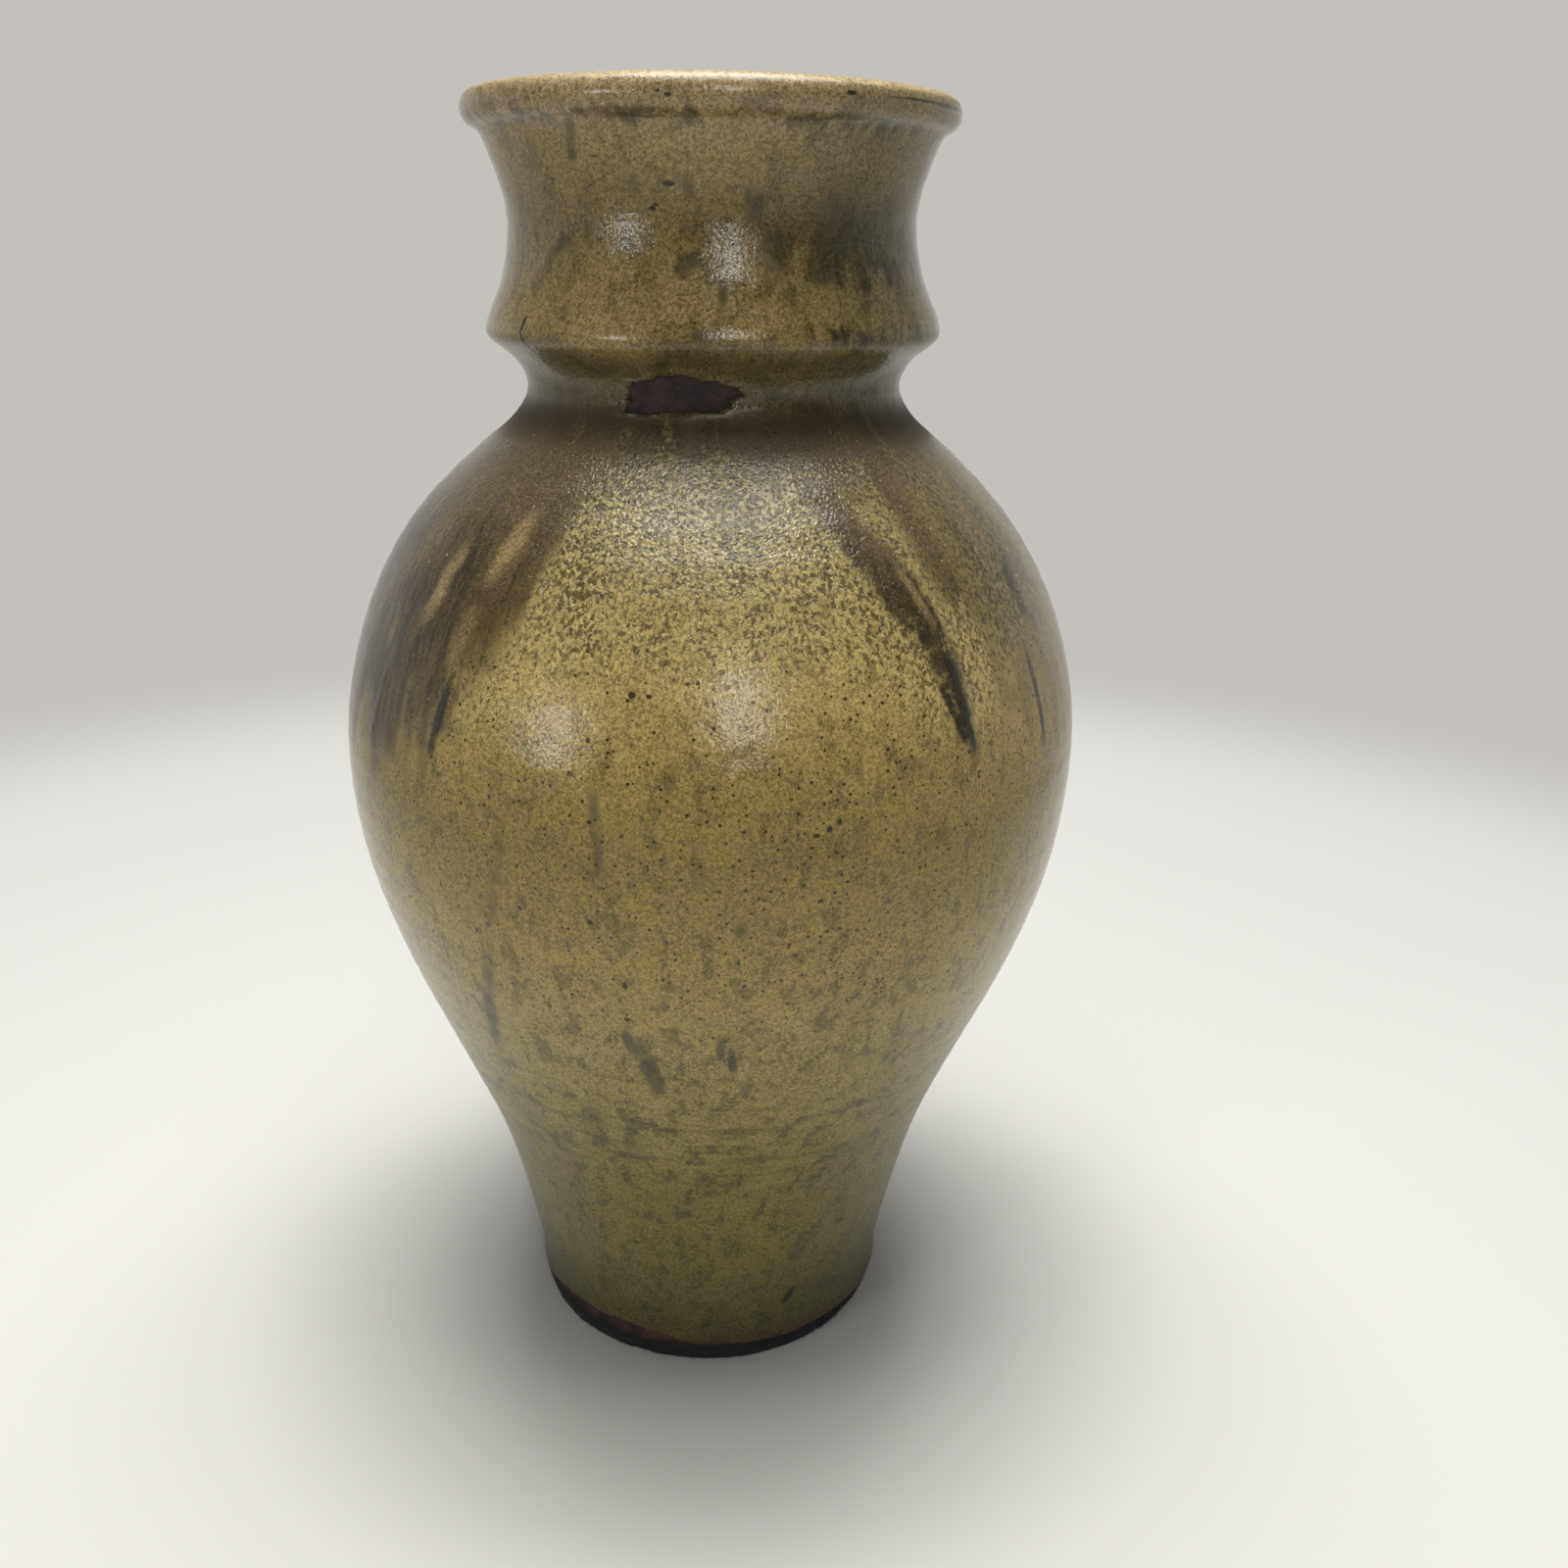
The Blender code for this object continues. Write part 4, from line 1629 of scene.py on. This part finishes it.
@dataclass
class Lining:
    """The liner glaze, from under the coat's lap inside the rim down over the floor.

    Attributes:
        skin: The pot's glazed line.
        throwing: How the wall strays.
        thickness: Of the lining.
        top_depth: How far below the crest it starts.
        tuck: How far its top lies under the coat.
        ring_size: Of the finger rings inside.
        ring_pitch: Height between them.
        columns: Points round the pot.
    """

    skin: Skin
    throwing: Throwing
    thickness: float = 0.74
    top_depth: float = 6.0
    tuck: float = 0.42
    ring_size: float = 0.16
    ring_pitch: float = 8.2
    columns: int = 180

    def build(self) -> bpy.types.Object:
        """Makes the mesh, a closed bag open at its top.

        Returns:
            The object.
        """
        line = self.skin.line
        start = self.skin.below_crest(self.top_depth)
        steps = ((14, 2.5), (300, 2.5), (340, 1.6), (370, 0.8), (380, 0.8))
        rows = self.skin.rows(start, len(line) - 1, steps)
        line, normal = line[rows], outward(line)[rows]
        azimuth = once_round(self.columns, len(rows))
        level = line[:, 1:]
        rings = self.ring_size * np.sin(2 * math.pi * level / self.ring_pitch + np.radians(azimuth))
        rings = rings * read(((15, 0.0), (30, 1.0), (350, 1.0), (366, 0.0)), level)
        tucked = self.tuck * read(((369.6, 0.0), (372.0, 1.0)), level)
        share = read(((14, 0.0), (40, -1.0), (362, -1.0), (372, 0.5)), level)
        swell = self.throwing.swell(azimuth, level + 0 * azimuth) * share
        mesh = PotMesh()
        grids = []
        for out in (swell + rings - tucked, np.minimum(swell - self.thickness, swell - tucked - 0.3)):
            radius, height = line[:, :1] + normal[:, :1] * out, line[:, 1:] + normal[:, 1:] * out
            grids.append(mesh.add(self.throwing.settle(on_wheel(radius, height, azimuth))))
        for first, inside_out in zip(grids, (False, True)):
            mesh.sheet(*azimuth.shape, first, inside_out=inside_out)
        for j in range(self.columns):
            k = (j + 1) % self.columns
            mesh.faces.append((grids[0] + k, grids[0] + j, grids[1] + j, grids[1] + k))
        floor = float(line[-1, 1])
        above, below = (mesh.ring(first, len(rows) - 1, self.columns) for first in grids)
        mesh.cap(floor, above, self.throwing)
        mesh.cap(floor - self.thickness, below[::-1], self.throwing)
        return mesh.made("lining", 60.0)


@dataclass
class ClayPart:
    """One thrown or turned section of the clay body.

    Attributes:
        node: The CAD node that it stands for.
        name: The piece's name.
        throwing: How the wall strays.
        step: The length of the straight pieces of its section.
        columns: Points round the pot.
        tool_marks: Size of the turning marks under the foot, for the piece that crosses the axis.
    """

    node: str
    name: str
    throwing: Throwing
    step: float = 2.6
    columns: int = 160
    tool_marks: float = 0.0

    def build(self) -> bpy.types.Object:
        """Makes the mesh, a closed ring, or a closed disc where the section meets the axis.

        Returns:
            The object.
        """
        corners = section(self.node)
        crosses_axis = self.tool_marks > 0
        if crosses_axis:
            corners = np.vstack([[0.0, corners[0, 1]], corners, [0.0, corners[-1, 1]]])
        line = softened(corners, self.step)
        if crosses_axis:
            line = line[line[:, 0] > 0.6]
            start = int(np.argmax(np.hypot(*(line - np.roll(line, 1, axis=0)).T)))
            line = np.roll(line, -start, axis=0)
        azimuth = once_round(self.columns, len(line))
        radius, height = (part[:, None] + 0 * azimuth for part in line.T)
        swell = self.throwing.swell(azimuth, height)
        radius = radius + swell * np.clip(height / 30 - 0.3, 0, 1)
        if self.tool_marks:
            under = np.clip((12 - height) / 2, 0, 1) * (radius < 56)
            height = height + self.tool_marks * under * np.sin(radius * 2.1 + np.radians(azimuth))
        mesh = PotMesh()
        first = mesh.add(self.throwing.settle(on_wheel(radius, height, azimuth)))
        climbing = _area(line) > 0
        mesh.sheet(*azimuth.shape, first, inside_out=not climbing, closed_rows=not crosses_axis)
        if crosses_axis:
            for row, turned in ((0, climbing), (len(line) - 1, not climbing)):
                ring = mesh.ring(first, row, self.columns)
                mesh.cap(line[row, 1], ring[::-1] if turned else ring, self.throwing)
        return mesh.made(self.name)


def _area(line: Line) -> float:
    """The signed area inside a closed line: positive if it runs anticlockwise."""
    ahead = np.roll(line, -1, axis=0)
    return float(np.sum(line[:, 0] * ahead[:, 1] - ahead[:, 0] * line[:, 1]) / 2)


@dataclass
class FeltPad:
    """The round felt pad stuck under the foot, with loose wool standing out of its cut edge.

    Attributes:
        throwing: How the pot leans, which the pad follows.
        edge: Radius of its soft edges.
        columns: Points round it.
        hairs: How many loose fibres it has.
        hair_length: Shortest and longest fibre.
        hair_radius: At a fibre's root.
        hair_corners: Where the corners of a fibre's section are, in radians.
    """

    throwing: Throwing
    edge: float = 0.7
    columns: int = 240
    hairs: int = 2600
    hair_length: tuple[float, float] = (0.5, 1.9)
    hair_radius: float = 0.05
    hair_corners: tuple[float, ...] = (0.0, 2.094, 4.189)

    def build(self) -> bpy.types.Object:
        """Makes the mesh.

        Returns:
            The object.
        """
        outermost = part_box("felt_pad")[1]
        self.radius, self.top = outermost.x / MM, outermost.z / MM
        mesh = PotMesh()
        dice = np.random.default_rng(SEED)
        line = self._outline()
        azimuth = once_round(self.columns, len(line))
        ragged = dice.normal(0, 0.12, azimuth.shape) * (line[:, :1] > self.radius - 1.5)
        radius = line[:, :1] + ragged + 0.2 * np.sin(np.radians(azimuth) * 5)
        points = on_wheel(radius, line[:, 1:] + 0 * azimuth, azimuth)
        first = mesh.add(self.throwing.settle(points))
        mesh.sheet(*azimuth.shape, first)
        for row, level, turned in ((0, 0.0, True), (len(line) - 1, self.top, False)):
            ring = mesh.ring(first, row, self.columns)
            mesh.cap(level, ring[::-1] if turned else ring, self.throwing)
        for _ in range(self.hairs):
            self._hair(mesh, dice)
        return mesh.made("felt_disc", 60.0)

    def _outline(self) -> Line:
        """The pad's section, from its underside out and over to its top."""
        corners = []
        for height, angles in ((self.edge, (-90, 0)), (self.top - self.edge, (0, 90))):
            for angle in np.radians(np.linspace(*angles, 4)):
                out = self.radius - self.edge + self.edge * math.cos(angle)
                corners.append((out, height + self.edge * math.sin(angle)))
        flat = np.linspace(8.0, self.radius - self.edge - 0.5, 18)
        under = np.column_stack([flat, 0 * flat])
        over = np.column_stack([flat[::-1], 0 * flat + self.top])
        return np.vstack([under, np.array(corners), over])

    def _hair(self, mesh: PotMesh, dice: np.random.Generator) -> None:
        """Adds one loose fibre, a bent three-sided needle rooted in the cut edge.

        Args:
            mesh: To add it to.
            dice: The source of chance.
        """
        turn = dice.uniform(-math.pi, math.pi)
        height = dice.uniform(0.25, self.top - 0.1)
        length = dice.uniform(*self.hair_length) * dice.uniform(0.4, 1.0)
        out = np.array([math.sin(turn), -math.cos(turn), 0.0])
        side = np.array([math.cos(turn), math.sin(turn), 0.0])
        root = out * (self.radius - 0.3) + np.array([0.0, 0.0, height])
        lead = out + side * dice.normal(0, 0.6) + np.array([0.0, 0.0, dice.normal(-0.1, 0.35)])
        bend = side * dice.normal(0, 0.5) + np.array([0.0, 0.0, dice.normal(-0.2, 0.3)])
        rings = []
        for share, size in ((0.0, 1.0), (0.55, 0.8)):
            middle = root + (lead * share + bend * share**2) * length
            corners = [middle + self.hair_radius * size * (math.cos(a) * side + np.array([0, 0, math.sin(a)]))
                       for a in self.hair_corners]
            rings.append(np.array(corners))
        tip = root + (lead + bend) * length
        points = np.vstack([*rings, tip[None]])
        points[:, 2] = np.clip(points[:, 2], 0.03, self.top - 0.02)
        first = mesh.add(self.throwing.settle(points))
        low, high, end = range(first, first + 3), range(first + 3, first + 6), first + 6
        mesh.faces.append((low[2], low[1], low[0]))
        for i in range(3):
            k = (i + 1) % 3
            mesh.faces.append((low[i], low[k], high[k], high[i]))
            mesh.faces.append((high[i], high[k], end))


@dataclass
class Pot:
    """The whole vase."""

    throwing: Throwing = field(default_factory=Throwing)
    patch: CrawledPatch = field(default_factory=CrawledPatch)

    def build(self) -> None:
        """Makes every piece and dresses it."""
        skin = Skin()
        dress(GlazeCoat(skin, self.throwing, self.patch).build(), AshGlaze().material(),
              "outer_glaze", "outer_glaze")
        dress(Lining(skin, self.throwing).build(), LinerGlaze().material(), "liner_glaze", "liner_glaze")
        clay = BareClay().material()
        parts = (
            ClayPart("turned_base", "foot_and_floor", self.throwing, 1.4, 200, 0.12),
            ClayPart("lower_wall", "lower_wall_clay", self.throwing),
            ClayPart("shoulder", "shoulder_clay", self.throwing),
            ClayPart("ridged_collar", "collar_clay", self.throwing, 1.0, 260),
            ClayPart("rolled_rim", "rim_clay", self.throwing, 1.2),
        )
        for part in parts:
            dress(part.build(), clay, "clay", part.node)
        felt = FeltPad(self.throwing).build()
        dress(felt, BlackFelt().material(), "felt", "felt_pad")


# ---------------------------------------------------------------------------
# The studio
# ---------------------------------------------------------------------------


@dataclass(frozen=True)
class SoftBox:
    """A soft light, aimed at a point above the table's middle.

    Attributes:
        name: The light's name.
        azimuth: Where it stands, as for the pot.
        elevation: Above the horizon, seen from its aim.
        distance: From its aim, in metres.
        size: Width and height, in metres.
        watts: Its power.
        warmth: Its colour.
    """

    name: str
    azimuth: float
    elevation: float
    distance: float
    size: tuple[float, float]
    watts: float
    warmth: tuple[float, float, float] = (1.0, 1.0, 1.0)

    def hang(self, aim: Vector) -> None:
        """Adds the light to the scene, aimed at a point in metres."""
        turn, lift = math.radians(self.azimuth), math.radians(self.elevation)
        away = Vector((math.sin(turn) * math.cos(lift), -math.cos(turn) * math.cos(lift), math.sin(lift)))
        light = bpy.data.lights.new(self.name, "AREA")
        light.shape = "RECTANGLE"
        light.size, light.size_y = self.size
        light.energy = self.watts
        light.color = self.warmth
        lamp = bpy.data.objects.new(self.name, light)
        lamp.location = aim + away * self.distance
        lamp.rotation_euler = (-away).to_track_quat("-Z", "Y").to_euler()
        bpy.context.scene.collection.objects.link(lamp)


@dataclass(frozen=True)
class Camera:
    """The camera, by where it stands and how it is turned.

    Attributes:
        place: In metres.
        pitch: How far it looks down.
        turn: How far it looks to the right of straight ahead.
        roll: How far it leans.
        lens: Focal length.
        sensor: Width of the film.
        clip: The nearest and farthest that it sees, in metres.
    """

    place: tuple[float, float, float] = (0.0, -0.43814, 0.3426)
    pitch: float = 20.38
    turn: float = 2.95
    roll: float = 1.12
    lens: float = 33.386
    sensor: float = 36.0
    clip: tuple[float, float] = (0.02, 60.0)

    def stand(self) -> None:
        """Adds the camera to the scene and makes it the scene's own."""
        pitch, turn, roll = (math.radians(angle) for angle in (self.pitch, self.turn, self.roll))
        ahead = Vector((math.sin(turn) * math.cos(pitch), math.cos(turn) * math.cos(pitch), -math.sin(pitch)))
        level = Vector((math.cos(turn), -math.sin(turn), 0.0))
        upright = level.cross(ahead)
        right = level * math.cos(roll) + upright * math.sin(roll)
        up = upright * math.cos(roll) - level * math.sin(roll)
        data = bpy.data.cameras.new("camera")
        data.lens, data.sensor_width = self.lens, self.sensor
        data.clip_start, data.clip_end = self.clip
        camera = bpy.data.objects.new("camera", data)
        axes = Matrix((right, up, -ahead)).transposed().to_4x4()
        camera.matrix_world = Matrix.Translation(Vector(self.place)) @ axes
        bpy.context.scene.collection.objects.link(camera)
        bpy.context.scene.camera = camera


@dataclass(frozen=True)
class Studio:
    """A pale table, soft lights and a plain grey surround."""

    aim_height: float = 0.2
    table_radius: float = 9.0
    table_columns: int = 96
    surround: Colour = (196, 193, 189)
    fill: float = 0.66
    front_fill: float = 0.06
    front_to_back: tuple[float, float] = (-0.8, 0.3)
    wall_to_ceiling: tuple[float, float] = (0.0, 0.5)
    ceiling_loss: float = 0.75
    lights: tuple[SoftBox, ...] = (
        SoftBox("ceiling panel", 0.0, 79.0, 1.45, (0.9, 0.5), 10.4),
        SoftBox("back ceiling panel", 180.0, 82.0, 1.5, (1.1, 0.5), 26.0),
        SoftBox("left window", -48.0, 11.0, 1.5, (0.3, 0.24), 3.0),
        SoftBox("tall strip", 8.0, 24.0, 1.5, (0.2, 0.5), 4.4),
    )

    def table(self) -> bpy.types.Object:
        """The table top, a fine disc level with the pad's underside.

        Returns:
            The object.
        """
        radii = np.array([0.0, *np.geomspace(40.0, self.table_radius / MM, 26)])[1:, None]
        azimuth = once_round(self.table_columns, len(radii))
        mesh = PotMesh()
        first = mesh.add(on_wheel(radii + 0 * azimuth, 0 * azimuth, azimuth))
        mesh.sheet(*azimuth.shape, first, inside_out=True)
        mesh.cap(0.0, mesh.ring(first, 0, self.table_columns))
        table = mesh.made("table_top")
        table.data.materials.append(PaleTable().material())
        return table

    def world(self) -> bpy.types.World:
        """The room: white walls, darker towards the front, which are seen directly as a plain grey."""
        board = Board(bpy.data.worlds.new("surround"))
        _, toward, up = board.node("ShaderNodeTexCoord", None, None, "Generated").xyz()
        walls = toward.rise(*self.front_to_back) * (self.fill - self.front_fill) + self.front_fill
        strength = walls * (1.0 - up.rise(*self.wall_to_ceiling) * self.ceiling_loss)
        white = linear((255, 254, 250))
        lit = board.node("ShaderNodeBackground", None, {"Color": white, "Strength": strength})
        seen = board.node("ShaderNodeBackground", None, {"Color": linear(self.surround)})
        direct = board.node("ShaderNodeLightPath", None, None, "Is Camera Ray")
        room = board.node("ShaderNodeMixShader", None, {0: direct, 1: lit, 2: seen})
        return board.ended(room, "ShaderNodeOutputWorld")

    def build(self) -> None:
        """Sets up the table, the lights, the surround, the camera and the film's response."""
        self.table()
        for light in self.lights:
            light.hang(Vector((0.0, 0.0, self.aim_height)))
        scene = bpy.context.scene
        scene.world = self.world()
        scene.view_settings.view_transform = "Standard"
        Camera().stand()
        log.info("studio: %d lights and a table", len(self.lights))


def main() -> None:
    """Builds the studio and the pot."""
    logging.basicConfig(level=logging.INFO, format="%(message)s")
    Studio().build()
    Pot().build()


if __name__ == "__main__":
    main()
